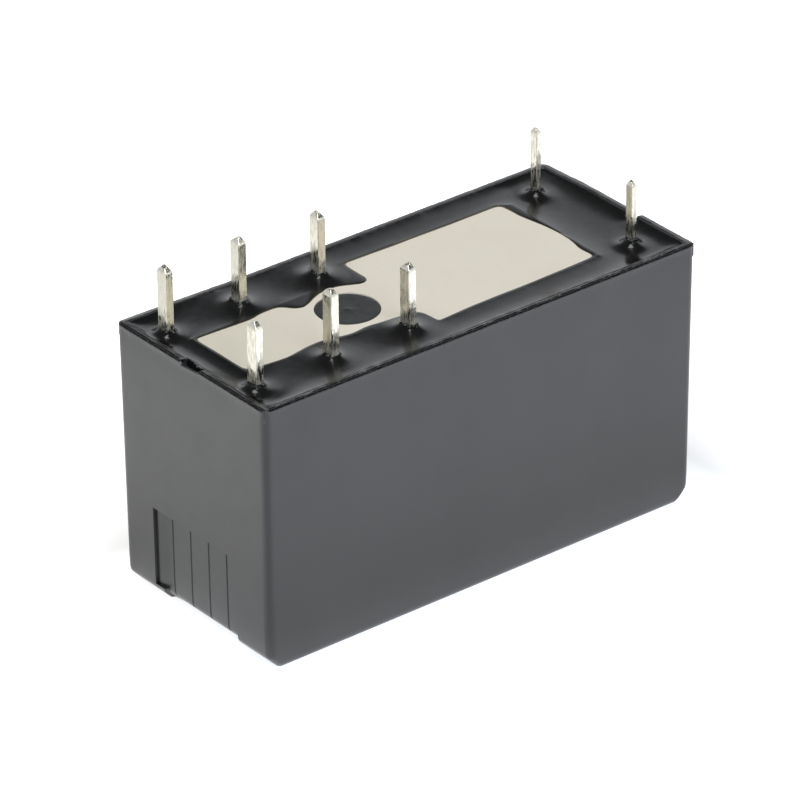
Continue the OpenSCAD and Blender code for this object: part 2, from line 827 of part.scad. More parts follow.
module actuator_card() {
    runner_y = card_neck_width / 2 - runner_width;
    color([0.86, 0.85, 0.82]) {
        translate([0, 0, card_low_z]) linear_extrude(height = card_thickness) card_outline();
        for (side = [-1, 1]) {
            translate([0, side * runner_y, 0])
                block([card_fork_x, -runner_width / 2, card_low_z - runner_height],
                      [armature_foot_x - runner_end_gap, runner_width / 2, card_low_z + joint_overlap]);
        }
    }
}

cover();
base();
epoxy_seal();
vent_plug();
pole_barrier();
common_terminal(-1);  // common_terminal_1
common_terminal(1);  // common_terminal_2
nc_terminal(-1);  // nc_terminal_1
nc_terminal(1);  // nc_terminal_2
no_terminal(-1);  // no_terminal_1
no_terminal(1);  // no_terminal_2
coil_terminal(-1);  // coil_terminal_1
coil_terminal(1);  // coil_terminal_2
nc_contact(-1);  // nc_contact_1
nc_contact(1);  // nc_contact_2
no_contact(-1);  // no_contact_1
no_contact(1);  // no_contact_2
contact_spring(-1);  // contact_spring_1
contact_spring(1);  // contact_spring_2
moving_contact(-1);  // moving_contact_1
moving_contact(1);  // moving_contact_2
bobbin();
winding();
winding_tape();
core();
yoke();
armature_spring();
lead_wire(-1);  // lead_wire_1
lead_wire(1);  // lead_wire_2
armature();
actuator_card();
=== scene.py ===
# %% [markdown]
# # A sealed power relay, standing on its closed face with the pins up
# The relay is a black moulded cover, 29 x 12.7 x 15.7 mm, closed at the bottom and open at the top.
# A beige base closes the top, eight tinned pins stand out of it and black resin seals the joint.
# The works that the pins serve are inside. Each step below makes one piece or one finish.
# All sizes in this lesson are in millimetres and become metres only when a mesh is made.

# %% The frame that everything is fitted to
import math
import random
import bmesh
import bpy
import numpy as np
from mathutils import Matrix, Vector, noise
from mathutils.geometry import tessellate_polygon


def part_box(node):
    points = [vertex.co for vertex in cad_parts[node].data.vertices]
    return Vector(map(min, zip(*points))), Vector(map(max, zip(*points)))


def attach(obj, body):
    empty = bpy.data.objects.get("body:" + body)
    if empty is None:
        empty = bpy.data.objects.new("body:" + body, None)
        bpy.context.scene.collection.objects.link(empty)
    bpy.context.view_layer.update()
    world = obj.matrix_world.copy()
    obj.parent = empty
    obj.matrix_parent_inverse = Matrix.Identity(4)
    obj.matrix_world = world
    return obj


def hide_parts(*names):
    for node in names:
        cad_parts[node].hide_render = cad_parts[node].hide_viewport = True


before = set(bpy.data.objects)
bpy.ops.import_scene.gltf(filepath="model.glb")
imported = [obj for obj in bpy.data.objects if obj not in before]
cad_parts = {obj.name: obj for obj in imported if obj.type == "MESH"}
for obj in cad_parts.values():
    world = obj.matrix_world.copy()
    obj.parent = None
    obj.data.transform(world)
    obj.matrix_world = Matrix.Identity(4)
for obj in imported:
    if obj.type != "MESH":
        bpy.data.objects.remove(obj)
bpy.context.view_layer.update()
MM = 0.001


def box_mm(node):
    """Lowest and highest corner of a CAD node, in millimetres."""
    low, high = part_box(node)
    return np.array(low) / MM, np.array(high) / MM


HALF_LENGTH, HALF_WIDTH, RIM_Z = box_mm("cover")[1]
print("frame:", len(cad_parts), "nodes; half length, half width and rim in mm:",
      HALF_LENGTH.round(3), HALF_WIDTH.round(3), RIM_Z.round(3))

# %% [markdown]
# ## Meshes from points
# A maker of small parts works from a few outlines and levels. Here too each mesh starts as a list of
# points in millimetres and a list of faces. Smooth shading with sharp edges above a given angle keeps
# the rounded corners soft and the cut edges crisp, without extra faces.

# %% A mesh from points and faces
def mesh_from(name, points, faces, sharp_angle=32):
    """Mesh object from points in millimetres, smooth except at edges sharper than the angle."""
    mesh = bpy.data.meshes.new(name)
    mesh.from_pydata((np.asarray(points, float) * MM).tolist(), [], faces)
    mesh.validate()
    mesh.shade_smooth()
    mesh.set_sharp_from_angle(angle=math.radians(sharp_angle))
    piece = bpy.data.objects.new(name, mesh)
    bpy.context.scene.collection.objects.link(piece)
    return piece


def strips(ring_count, ring_size):
    """Quads between closed rings of equal size that are stored one after the other."""
    faces = []
    for i in range(ring_count - 1):
        for j in range(ring_size):
            k = (j + 1) % ring_size
            faces.append((i * ring_size + j, i * ring_size + k,
                          (i + 1) * ring_size + k, (i + 1) * ring_size + j))
    return faces


def caps(ring_count, ring_size):
    """Faces that close the first and the last of such rings."""
    first = tuple(reversed(range(ring_size)))
    return [first, tuple(range((ring_count - 1) * ring_size, ring_count * ring_size))]


def ragged(x, y, z, size, seed):
    """Soft noise from -1 to 1 whose bumps are about as large as size, in millimetres."""
    return noise.noise(Vector((x / size + seed, y / size - seed, z / size + 2 * seed)))


def smooth_step(value, low, high):
    """0 below low, 1 above high and an even turn between, for numbers and arrays."""
    share = np.clip((value - low) / (high - low), 0, 1)
    return share * share * (3 - 2 * share)


print("mesh helpers ready")

# %% [markdown]
# ## Finishes from nodes
# Every finish is a small tree of nodes: noise in the piece's own coordinates drives the colour,
# the roughness and a fine bump, at the scale that the real surface has under a loupe.
# A helper keeps the trees short to write. Numbers that are the same all over a surface are set on
# the shader's own sockets.

# %% A helper that builds one finish
class Finish:
    """Material with one Principled shader, and helpers for the patterns that feed it."""

    def __init__(self, name, **shader_values):
        self.material = bpy.data.materials.new(name)
        self.material.use_nodes = True
        self.nodes = self.material.node_tree.nodes
        self.links = self.material.node_tree.links
        self.shader = self.nodes["Principled BSDF"]
        self.place = self.nodes.new("ShaderNodeTexCoord").outputs["Object"]
        for socket, value in shader_values.items():
            self.shader.inputs[socket.replace("_", " ")].default_value = value

    def feed(self, socket, source):
        """Links a source to one of the shader's sockets."""
        self.links.new(source, self.shader.inputs[socket])

    def noise(self, size, detail, stretch=(1, 1, 1)):
        """Noise whose grains are about size millimetres across, drawn out along an axis by stretch."""
        mapping = self.nodes.new("ShaderNodeMapping")
        mapping.inputs["Scale"].default_value = [1 / (size * MM * s) for s in stretch]
        self.links.new(self.place, mapping.inputs["Vector"])
        texture = self.nodes.new("ShaderNodeTexNoise")
        texture.inputs["Scale"].default_value = 1.0
        texture.inputs["Detail"].default_value = detail
        self.links.new(mapping.outputs["Vector"], texture.inputs["Vector"])
        return texture.outputs["Fac"]

    def along(self, axis):
        """Place of the surface point along an axis, in metres."""
        split = self.nodes.new("ShaderNodeSeparateXYZ")
        self.links.new(self.place, split.inputs["Vector"])
        return split.outputs[axis]

    def facing(self, axis):
        """1 where the surface faces along an axis and 0 where it runs along it."""
        split = self.nodes.new("ShaderNodeSeparateXYZ")
        self.links.new(self.nodes.new("ShaderNodeTexCoord").outputs["Normal"], split.inputs["Vector"])
        return self.maths("ABSOLUTE", split.outputs[axis], 0)

    def attribute(self, name):
        """Value that the mesh carries under a name."""
        reader = self.nodes.new("ShaderNodeAttribute")
        reader.attribute_name = name
        return reader.outputs["Fac"]

    def spread(self, source, low, high, start=0.3, end=0.7):
        """Source from start to end becomes low to high."""
        spread = self.nodes.new("ShaderNodeMapRange")
        for socket, value in zip(("From Min", "From Max", "To Min", "To Max"), (start, end, low, high)):
            spread.inputs[socket].default_value = value
        self.links.new(source, spread.inputs["Value"])
        return spread.outputs["Result"]

    def fade(self, axis, low, high, start, end):
        """Low to high between two places along an axis, in millimetres."""
        return self.spread(self.along(axis), low, high, start * MM, end * MM)

    def maths(self, operation, first, second):
        """Result of one Math node; both values may be numbers or sockets."""
        step = self.nodes.new("ShaderNodeMath")
        step.operation = operation
        for socket, value in zip(step.inputs, (first, second)):
            if isinstance(value, (int, float)):
                socket.default_value = value
            else:
                self.links.new(value, socket)
        return step.outputs["Value"]

    def colours(self, source, *stops):
        """Colour ramp through (position, colour) stops."""
        ramp = self.nodes.new("ShaderNodeValToRGB")
        while len(ramp.color_ramp.elements) < len(stops):
            ramp.color_ramp.elements.new(0.5)
        for element, (position, colour) in zip(ramp.color_ramp.elements, stops):
            element.position = position
            element.color = (*colour, 1)
        self.links.new(source, ramp.inputs["Fac"])
        return ramp.outputs["Color"]

    def mixed(self, share, first, second):
        """Colour that goes from first to second with share."""
        mix = self.nodes.new("ShaderNodeMix")
        mix.data_type = "RGBA"
        self.links.new(share, mix.inputs["Factor"])
        for socket, value in ((mix.inputs[6], first), (mix.inputs[7], second)):
            if isinstance(value, tuple):
                socket.default_value = (*value, 1)
            else:
                self.links.new(value, socket)
        return mix.outputs[2]

    def bump(self, *layers):
        """Bump from (source, depth in millimetres) layers, one on the other."""
        normal = None
        for source, depth in layers:
            bump = self.nodes.new("ShaderNodeBump")
            bump.inputs["Distance"].default_value = depth * MM
            self.links.new(source, bump.inputs["Height"])
            if normal is not None:
                self.links.new(normal, bump.inputs["Normal"])
            normal = bump.outputs["Normal"]
        self.feed("Normal", normal)


print("finish helper ready")

# %% [markdown]
# ## The cover's plastic
# The cover is moulded from a black glass-filled polyester. Its faces are smooth but not polished, so
# they mirror the bright surroundings as an even grey. The colour itself is nearly black, and a narrow
# strip in the grip pocket's first corner is painted near black as painted shade. The fine grain of the
# mould, faint flow marks, the chipped rim and a lighter grey painted along the back rim as a sheen are
# noise and fades along the piece's own axes, so they need no unwrapping and stay sharp at any size.

# %% Black cover plastic
POCKET_TOP, POCKET_START = 5.66, 3.62
cover_finish = Finish("black_cover_plastic", IOR=1.52, Specular_IOR_Level=0.575)
flow_marks = cover_finish.noise(5.0, 4, stretch=(1, 1, 2.2))
mould_grain = cover_finish.noise(0.05, 2)
handling = cover_finish.noise(1.6, 5)
chips = cover_finish.spread(cover_finish.noise(0.28, 4), -0.06 * MM, 0.06 * MM)
chipped_height = cover_finish.maths("ADD", cover_finish.along("Z"), chips)
near_rim = cover_finish.spread(chipped_height, 0, 1, (RIM_Z - 0.12) * MM, (RIM_Z - 0.05) * MM)
# Painted sheen: the rim along the back is painted a lighter grey.
back_rim_sheen = cover_finish.fade("Y", 0, 1, HALF_WIDTH - 0.42, HALF_WIDTH - 0.05)
# shadow_strip is painted shade: it turns a strip in the pocket's first corner near black.
shadow_strip = cover_finish.fade("Y", 0, 1, 3.40, 3.45)
strip_ends = (("Y", POCKET_START - 0.005, POCKET_START + 0.005), ("X", -14.2, -14.1),
              ("Z", POCKET_TOP, POCKET_TOP + 0.01))
for axis, start, end in strip_ends:
    shadow_strip = cover_finish.maths("MULTIPLY", shadow_strip, cover_finish.fade(axis, 1, 0, start, end))
moulded_black = cover_finish.colours(
    flow_marks, (0.3, (0.0150, 0.0160, 0.0175)), (0.7, (0.0205, 0.0215, 0.0230)))
moulded_black = cover_finish.mixed(shadow_strip, moulded_black, (0.002, 0.002, 0.002))
rim_black = cover_finish.mixed(back_rim_sheen, (0.006, 0.006, 0.007), (0.15, 0.15, 0.148))
cover_finish.feed("Base Color", cover_finish.mixed(near_rim, moulded_black, rim_black))
matt = cover_finish.spread(handling, 0.30, 0.38)
polished_rim = cover_finish.maths("MULTIPLY", near_rim, 0.14)
cover_finish.feed("Roughness", cover_finish.maths("SUBTRACT", matt, polished_rim))
cover_finish.bump((mould_grain, 0.0022), (handling, 0.004), (flow_marks, 0.012))
print("finish:", cover_finish.material.name)

# %% [markdown]
# ## The cover
# A cover like this is a deep cup whose walls lean by half a degree so that it leaves its mould. Its
# upright corners and long lower edges are rounded to 0.45 mm, and the two ends are slanted at the foot.
# It could be cut from a block with booleans, but then the ragged rim would have no points to move. So it
# is made as a stack of closed rings: up the outside, over the rim, down the inside to the ledge and on to
# the floor. All rings share their stations, and stations crowd where the pocket's grooves step.

# %% Stations round the cover
DRAFT = math.tan(math.radians(0.5))
EDGE_RADIUS, INNER_RADIUS, FOOT_SLANT = 0.45, 0.3, 0.8
RIM_WALL, SIDE_WALL, FACE_WALL, LEDGE_Z = 0.45, 0.8, 0.7, RIM_Z - 2.6
NOTCHES = {-1: (0.0, 0.72, 0.42), 1: (-1.60, 0.36, 0.5)}  # per end wall: centre, half width and depth
POCKET_WIDTH, POCKET_DEPTH, POCKET_LIP = 7.09, 0.28, 1.0
FIRST_GROOVE, GROOVE_PITCH, GROOVE_WIDTH, GROOVE_DEPTH = 2.30, 1.55, 0.11, 0.045
STATION_GAP, ARC_STEPS = 0.13, 8  # between stations on a wall, and steps round a corner
STEP_HALF = 0.012  # half the width over which a groove's edge steps down
groove_y = [FIRST_GROOVE - i * GROOVE_PITCH for i in range(4)]
pocket_end = POCKET_START - POCKET_WIDTH


def stations(half, extra=()):
    """Even stations from -half to half, with extra ones where the surface steps."""
    even = np.linspace(-half, half, round(2 * half / STATION_GAP))
    return np.array(sorted(set(even.round(4)) | set(np.round(extra, 4))))


crowded = [y + side * GROOVE_WIDTH / 2 + step
           for y in groove_y for side in (-1, 1) for step in (-STEP_HALF, STEP_HALF)]
crowded += [y + step for y in (POCKET_START, pocket_end) for step in (-0.03, -0.015, 0, 0.015, 0.03)]
beside_near_notch = [-0.87, -0.83, 0.83, 0.87]
sides_of_far_notch = [-1.98, -1.94, -1.26, -1.22]
near_wall_y = stations(HALF_WIDTH - EDGE_RADIUS, crowded + beside_near_notch)
far_wall_y = stations(HALF_WIDTH - EDGE_RADIUS, sides_of_far_notch)
wall_x = stations(HALF_LENGTH - EDGE_RADIUS)
print("stations:", len(near_wall_y), len(far_wall_y), len(wall_x))

# %% [markdown]
# ## The grip pocket
# The end away from the coil pins has a flat shallow pocket with four upright grooves, which gives a
# thumbnail or a tool a hold when the relay is drawn out. Cutting it with a boolean would leave ragged
# faces on a leaning wall. Here each ring only asks how deep the wall is at its own place, and the
# stations are already where the depth steps, so every edge stays crisp and upright.

# %% One ring of the cover, and the pocket in it
def settled(station, half, straight):
    """Station on a shorter wall: kept where the pocket steps, pushed together near the corners."""
    kept, full = 0.66 * half, half - EDGE_RADIUS  # the pocket lies within the middle two thirds
    beyond = max(0.0, abs(station) - kept) / (full - kept)
    return math.copysign(min(abs(station), kept) + beyond * (straight - kept), station)


def outline(half_x, half_y, radius):
    """Closed outline with rounded corners, counter-clockwise, starting on the -X wall at +Y."""
    straight_x, straight_y = half_x - radius, half_y - radius
    walls = [
        [(-half_x, settled(y, HALF_WIDTH, straight_y)) for y in near_wall_y[::-1]],
        [(settled(x, HALF_LENGTH, straight_x), -half_y) for x in wall_x],
        [(half_x, settled(y, HALF_WIDTH, straight_y)) for y in far_wall_y],
        [(settled(x, HALF_LENGTH, straight_x), half_y) for x in wall_x[::-1]],
    ]
    points = []
    for quarter, wall in enumerate(walls):
        points += wall
        start = math.pi + quarter * math.pi / 2
        centre_x = (-1, 1, 1, -1)[quarter] * straight_x
        centre_y = (-1, -1, 1, 1)[quarter] * straight_y
        for step in range(1, ARC_STEPS):
            angle = start + step / ARC_STEPS * math.pi / 2
            points.append((centre_x + radius * math.cos(angle), centre_y + radius * math.sin(angle)))
    return np.array(points)


def pocket_depth(y, z):
    """How far the wall lies behind its plane in the grooved pocket, in millimetres."""
    if not pocket_end < y < POCKET_START + 0.02 or z > POCKET_TOP:
        return 0.0
    lip_end = FIRST_GROOVE + 1.0 - 0.50 * z / POCKET_LIP  # the lip under the first strip ends in a slope
    if z < POCKET_LIP and y > lip_end:
        return 0.0
    depth = POCKET_DEPTH - 0.12 * smooth_step(y, FIRST_GROOVE, POCKET_START)
    for groove in groove_y:
        if z < POCKET_TOP - 0.1:
            edge = GROOVE_WIDTH / 2
            depth += GROOVE_DEPTH * (1 - smooth_step(abs(y - groove), edge - STEP_HALF, edge + STEP_HALF))
    return float(depth * (1 - smooth_step(y, POCKET_START - 0.01, POCKET_START + 0.01)))


print("rings are outlines of", len(outline(HALF_LENGTH, HALF_WIDTH, EDGE_RADIUS)), "points")

# %% [markdown]
# ## The rim and the foot
# The rim is the open end of the moulding: it has a thin torn flash, it has sunk a little along the back,
# and each end wall has a notch in it, probably for the air to get out while the resin was poured. The
# foot of both ends is slanted. All of these are functions of the place, so any ring can ask for them,
# however many rings there are.

# %% Heights of the rim, slant of the foot and a ring between them
def rim_sag(x, y):
    """How far the long back wall's rim has sunk, most at the coil end."""
    return 0.13 * smooth_step(x, -14.5, -5) * smooth_step(y, 2.5, 6)


def rim_height(x, y):
    """Height of the rim, which is slightly ragged and has a notch in each end wall."""
    top = RIM_Z + 0.014 * ragged(x, y, 0, 0.25, 3.1) + 0.010 * ragged(x, y, 0, 0.9, 7.7)
    top -= rim_sag(x, y)
    centre, half, depth = NOTCHES[-1 if x < 0 else 1]
    if abs(x) > HALF_LENGTH - 0.9:
        if x < -HALF_LENGTH + 0.10:  # the near notch stays shallow in the wall's outer edge
            depth *= 0.22 + 0.15 * (y - centre)
        top -= depth * (1 - smooth_step(abs(y - centre), half - 0.02, half + 0.02))
    return top


def foot_inset(z):
    """How far the slant at the foot of an end wall lies behind the wall, with softened edges."""
    slant = 0.5 * (FOOT_SLANT - z + math.hypot(FOOT_SLANT - z, 0.14))
    return slant + 0.05 * max(0.0, 1 - z / 0.05) ** 2


def cover_ring(inset, z, radius, share_of_rim=0.0, side_inset=None):
    """Ring at a level; share_of_rim 1 follows the ragged rim and 0 keeps the level."""
    lean = (RIM_Z - z) * DRAFT
    half_x = HALF_LENGTH - lean - inset
    half_y = HALF_WIDTH - lean - (inset if side_inset is None else side_inset)
    flat = outline(half_x, half_y, radius)
    ring = np.column_stack([flat, np.full(len(flat), z)])
    outside = radius <= EDGE_RADIUS + 1e-6 and inset < RIM_WALL - 1e-6 or side_inset is not None
    for point in ring:
        if share_of_rim:
            point[2] += share_of_rim * (rim_height(point[0], point[1]) - RIM_Z)
        elif outside and point[0] < -half_x + 1e-6 and z < POCKET_TOP + 0.02:
            point[0] += pocket_depth(point[1], z)
    return ring


print("rim from", round(rim_height(-5, HALF_WIDTH), 3), "to", round(rim_height(0, -HALF_WIDTH), 3), "mm high")

# %% The outside, ring by ring from the foot
rings = []
foot_levels = [EDGE_RADIUS * (1 - math.cos(step / 9 * math.pi / 2)) for step in range(1, 9)]
foot_levels += [0.0, POCKET_LIP - 0.004, POCKET_LIP + 0.004, 0.52, 0.60, 0.68, 0.74, 0.80, 0.86, 0.94, 1.1]
for z in sorted(foot_levels):
    rise = min(z / EDGE_RADIUS, 1)
    rounding = EDGE_RADIUS * (1 - math.sqrt(1 - (1 - rise) ** 2))
    corner = max(EDGE_RADIUS - rounding, 0.04)
    rings.append(cover_ring(foot_inset(z), z, corner, side_inset=min(rounding, 0.41)))
for z in (1.7, 2.3, 2.9, 3.5, 4.1, 4.7, POCKET_TOP - 0.101, POCKET_TOP - 0.099, POCKET_TOP - 0.001,
          POCKET_TOP + 0.001, 6.4, 7.4, 8.4, 9.4, 10.4, 11.4, 12.4, 13.4, 14.2, 14.8):
    rings.append(cover_ring(0, z, EDGE_RADIUS))
print("outside:", len(rings), "rings")

# %% Over the rim and down the inside
# each ring of the rim: inset from the wall, height over the rim and share of the raggedness
outer_rim = [(0, -0.58, 0.3), (0, -0.40, 0.6), (-0.004, -0.27, 0.85), (-0.012, -0.18, 0.95),
             (-0.020, -0.12, 1), (-0.012, -0.085, 1), (0.02, -0.065, 1), (0.07, -0.050, 1), (0.15, -0.032, 1)]
inner_rim = [(0.26, -0.012, 1), (0.36, -0.004, 1), (0.425, -0.015, 1), (RIM_WALL, -0.06, 0.9),
             (RIM_WALL, -0.3, 0.6), (RIM_WALL, -0.8, 0)]
for inset, drop, share in outer_rim:
    ring = cover_ring(inset, RIM_Z + drop, EDGE_RADIUS - min(inset, 0.1), share)
    for point in ring:
        flash = 0.02 * share * max(0, ragged(point[0], point[1], point[2], 0.16, 5.0))
        point[0] += math.copysign(flash, point[0]) if abs(point[0]) > HALF_LENGTH - 0.5 else 0
        point[1] += math.copysign(flash, point[1]) if abs(point[1]) > HALF_WIDTH - 0.5 else 0
    rings.append(ring)
rings += [cover_ring(inset, RIM_Z + drop, INNER_RADIUS, share) for inset, drop, share in inner_rim]
rings += [cover_ring(inset, z, INNER_RADIUS) for inset, z in (
    (RIM_WALL, LEDGE_Z), (SIDE_WALL, LEDGE_Z), (SIDE_WALL, 6.0), (SIDE_WALL, FACE_WALL + FOOT_SLANT / 2))]
rings.append(cover_ring(SIDE_WALL + FOOT_SLANT / 2, FACE_WALL, INNER_RADIUS, side_inset=SIDE_WALL))
ring_size = len(rings[0])
cover_faces = strips(len(rings), ring_size) + caps(len(rings), ring_size)
cover = mesh_from("moulded_cover", np.vstack(rings), cover_faces, sharp_angle=24)
print("cover:", len(rings), "rings of", ring_size, "points")

# %% The cover takes its place and finish
def dress(piece, finish, node):
    """Finish and slot of a piece that stands still in the housing, and the CAD node that it stands for."""
    piece.data.materials.clear()
    piece.data.materials.append(finish.material)
    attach(piece, "housing")
    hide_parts(node)
    print("dressed:", piece.name, "in", finish.material.name)


dress(cover, cover_finish, "cover")

# %% [markdown]
# ## The shore between the resin and the bare land
# The base has a raised land. Resin is poured round it and stops where it meets the land's top, in a line
# that creeps over the edges here and there. This shore is the relay's most telling detail, so it is
# drawn as one closed line of listed points and rounded by cutting its corners.
# Distances from this line then shape the resin and colour its thin edge.

# %% The shore line
shore = [
    (-12.25, -1.75), (-11.85, -2.0), (-11.28, -2.02), (-10.5, -2.12), (-9.72, -2.17), (-8.9, -2.02),
    (-8.16, -1.90), (-7.35, -1.88), (-6.4, -2.1), (-5.64, -2.28), (-4.5, -2.14), (-3.58, -2.28),
    (-2.64, -2.37), (-1.75, -2.47), (-1.45, -2.65), (-1.30, -3.0), (-1.26, -3.6), (-1.22, -4.02),
    (-0.9, -4.03), (0.6, -3.92), (2.6, -3.86), (4.6, -3.88), (6.6, -3.83), (8.6, -3.76), (9.56, -3.70),
    (9.60, -3.3), (9.55, -2.6), (9.80, -1.6), (9.86, -0.6), (9.78, 0.6), (9.60, 1.6), (9.47, 2.4),
    (9.46, 3.2), (9.42, 3.72), (9.18, 3.93), (8.3, 3.93), (6.0, 3.90), (4.0, 3.95), (2.0, 3.94),
    (0.2, 3.99), (-1.12, 4.02), (-1.18, 3.6), (-1.2, 2.9), (-1.21, 2.45), (-1.20, 2.2), (-1.26, 1.97),
    (-1.40, 1.79), (-1.62, 1.69), (-1.90, 1.71), (-2.2, 1.86), (-2.6, 2.06), (-3.0, 2.22), (-3.5, 2.32),
    (-4.14, 2.24), (-4.75, 2.02), (-5.3, 1.72), (-5.8, 1.55), (-6.25, 1.75), (-6.6, 2.2), (-6.95, 2.44),
    (-7.95, 2.43), (-8.71, 2.24), (-9.6, 2.27), (-10.8, 2.33), (-11.7, 2.36), (-12.2, 2.36),
    (-12.27, 2.0), (-12.24, 0.6), (-12.27, -0.7),
]


def round_corners(line, turns=2):
    """Cuts the corners of a closed line, which leaves a smooth one through the same places."""
    line = np.array(line, float)
    for _ in range(turns):
        after = np.roll(line, -1, axis=0)
        line = np.column_stack([0.8 * line + 0.2 * after, 0.2 * line + 0.8 * after]).reshape(-1, 2)
    return line


def distance_to_line(x, y, line):
    """Distance of each point to a closed line, below zero inside it."""
    ends = np.roll(line, -1, axis=0)
    nearest = np.full(x.shape, 1e9)
    inside = np.zeros(x.shape, bool)
    for (ax, ay), (bx, by) in zip(line, ends):
        along = ((x - ax) * (bx - ax) + (y - ay) * (by - ay)) / ((bx - ax) ** 2 + (by - ay) ** 2)
        along = np.clip(along, 0, 1)
        nearest = np.minimum(nearest, np.hypot(x - ax - along * (bx - ax), y - ay - along * (by - ay)))
        crosses = (ay > y) != (by > y)
        with np.errstate(divide="ignore", invalid="ignore"):
            inside ^= crosses & (x < (bx - ax) * (y - ay) / (by - ay) + ax)
    return np.where(inside, -nearest, nearest)


shore_line = round_corners(shore)
print("shore line:", len(shore_line), "points")

# %% [markdown]
# ## The resin
# Epoxy is poured in as a liquid, so its surface is a shape that a liquid takes: level in the open, drawn
# up the walls and up each pin, and drawn back to a thin edge on the land. Sculpting would not give
# such exact curves. So the liquid is computed: on a fine grid the height is fixed where the resin touches
# the walls, the pins and the land, and between them each point settles to what surface tension and
# weight give. The pins come first, because the resin has to know where they stand.

# %% The pins' places
PIN_X, ROW_Y = {"nc": -13.15, "common": -8.15, "no": -3.15, "coil": 11.85}, 3.75
pin_marks = {  # shift along X and Y and extra length of each bent or shortened pin
    ("nc", 1): (0.07, -0.04, 0.04), ("nc", 2): (0.03, 0.0, 0.14),
    ("common", 1): (0.03, 0.0, 0.20), ("common", 2): (-0.10, 0.14, 0.13),
    ("no", 1): (0.08, -0.06, 0.0), ("no", 2): (0.03, 0.0, -0.02),
    ("coil", 1): (0.17, -0.15, -0.13), ("coil", 2): (-0.02, 0.05, 0.08)}
PINS = {}  # place, thickness, width and tip height of each pin
for (kind, side), (shift_x, shift_y, longer) in pin_marks.items():
    across = (0.32, 0.52) if kind == "coil" else (0.50, 0.76)
    y = -ROW_Y if side == 1 else ROW_Y
    tip_z = box_mm(f"{kind}_terminal_{side}")[1][2] + longer
    PINS[kind, side] = (PIN_X[kind] + shift_x, y + shift_y, *across, tip_z)
print("pins:", len(PINS), "tips from", round(min(pin[4] for pin in PINS.values()), 3), "mm")

# %% [markdown]
# ## Where the resin is held
# The resin wets what it touches. It creeps over the front and left rim and swells there before it ends,
# it meets the far end's wall a little lower, it is drawn half a millimetre up each pin, and it lies
# on the land as a film. These heights are fixed, with small noise, because no pour is even.

# %% The grid, and how far each place is from the shore
RESIN_LEVEL, RESIN_LOW, LAND_Z = RIM_Z - 0.36, RIM_Z - 0.74, RIM_Z - 0.198
GRID, OVER_RIM = 0.075, 0.36  # width of a square, and how far the grid reaches over the rim
inner_x, inner_y = HALF_LENGTH - RIM_WALL, HALF_WIDTH - RIM_WALL
grid_x = np.arange(-inner_x - OVER_RIM, inner_x + OVER_RIM + 0.001, GRID)
grid_y = np.arange(-inner_y - OVER_RIM, inner_y + OVER_RIM + 0.001, GRID)
X, Y = np.meshgrid(grid_x, grid_y, indexing="ij")
land_edge = [(-12.45, -2.25), (-6.9, -2.28), (-5.4, -2.52), (-2.3, -2.68), (-1.50, -2.9), (-1.45, -4.18),
             (9.0, -3.98), (9.9, -3.85), (10.0, 3.6), (9.3, 4.08), (-1.34, 4.18), (-1.45, 2.65), (-6.5, 2.62),
             (-12.45, 2.52)]
shore_gap = distance_to_line(X, Y, shore_line)
plate_gap = distance_to_line(X, Y, np.array(land_edge))


def noise_field(size, seed):
    """Soft noise over the grid."""
    flat = [ragged(x, y, 0, size, seed) for x, y in zip(X.ravel(), Y.ravel())]
    return np.array(flat).reshape(X.shape)


waves, ripples, fine = noise_field(3.2, 1.3), noise_field(0.7, 4.2), noise_field(0.22, 9.4)
print("grid:", X.shape, "squares of", GRID, "mm")

# %% Fixed heights: the walls, the pins and the land
WALLS = {  # gap to the wall, height of the touch line, width and swell of the coat on the rim
    "front": (Y + inner_y, -0.03, 0.33, 0.055), "left": (X + inner_x, -0.03, 0.32, 0.035),
    "back": (inner_y - Y, -0.03, 0.10, 0.0), "right": (inner_x - X, -0.13, 0.10, 0.0)}
PIN_COLLAR, PIN_CLIMB = 0.05, 0.54  # width of the resin's collar on a pin, and how high it climbs
nearest_wall = np.minimum.reduce([wall[0] for wall in WALLS.values()])
fixed = np.zeros(X.shape, bool)
resin_z = np.full(X.shape, RESIN_LEVEL)
for gap, touch_z, coat_width, coat_swell in WALLS.values():
    here = (gap < 0) & (gap <= nearest_wall + 1e-9)
    fixed |= here
    touch = RIM_Z + touch_z - rim_sag(X, Y) + 0.020 * ripples + 0.016 * fine
    coat_end = coat_width + 0.03 * ripples + 0.03 * fine
    swell = coat_swell * smooth_step(-gap, coat_end - 0.24, coat_end)
    beyond = 0.05 * (-gap).clip(0, coat_width) + swell - 0.9 * (-coat_end - gap).clip(0)
    resin_z = np.where(here, touch + beyond, resin_z)
# the notches: resin stops in a torn edge inside the near one and lies low in the far one
near_notch = (X < -inner_x + 0.03) & (abs(Y) < NOTCHES[-1][1] + 0.02 + 0.08 * fine)
slot_edge = -inner_x - 0.10 + 0.09 * ripples + 0.07 * fine
resin_z = np.where(near_notch, RIM_Z + np.where(X < slot_edge, -0.60, -0.015 + 0.05 * fine), resin_z)
far_notch = (X > inner_x) & (abs(Y - NOTCHES[1][0]) < NOTCHES[1][1] - 0.03)
resin_z = np.where(far_notch, RIM_Z - 0.40, resin_z)
fixed |= near_notch
for x, y, thickness, width, _ in PINS.values():
    here = (abs(X - x) < thickness / 2 + PIN_COLLAR) & (abs(Y - y) < width / 2 + PIN_COLLAR)
    fixed |= here
    resin_z = np.where(here, RESIN_LEVEL + PIN_CLIMB + 0.12 * ripples + 0.07 * fine, resin_z)
fixed |= shore_gap < 0
resin_z = np.where(shore_gap < 0, LAND_Z + 0.33 * shore_gap, resin_z)
print("fixed places:", int(fixed.sum()), "of", fixed.size)

# %% [markdown]
# ## The liquid settles
# A liquid's surface is a soap film with weight: each place wants the mean height of its neighbours, and
# weight pulls it back to the level. The capillary length says how far a wall's pull reaches, about 1 mm
# in thick epoxy and less in the narrow ends. The places are visited like the colours of a chessboard,
# each time a little beyond their goal, which settles them in a few hundred rounds.

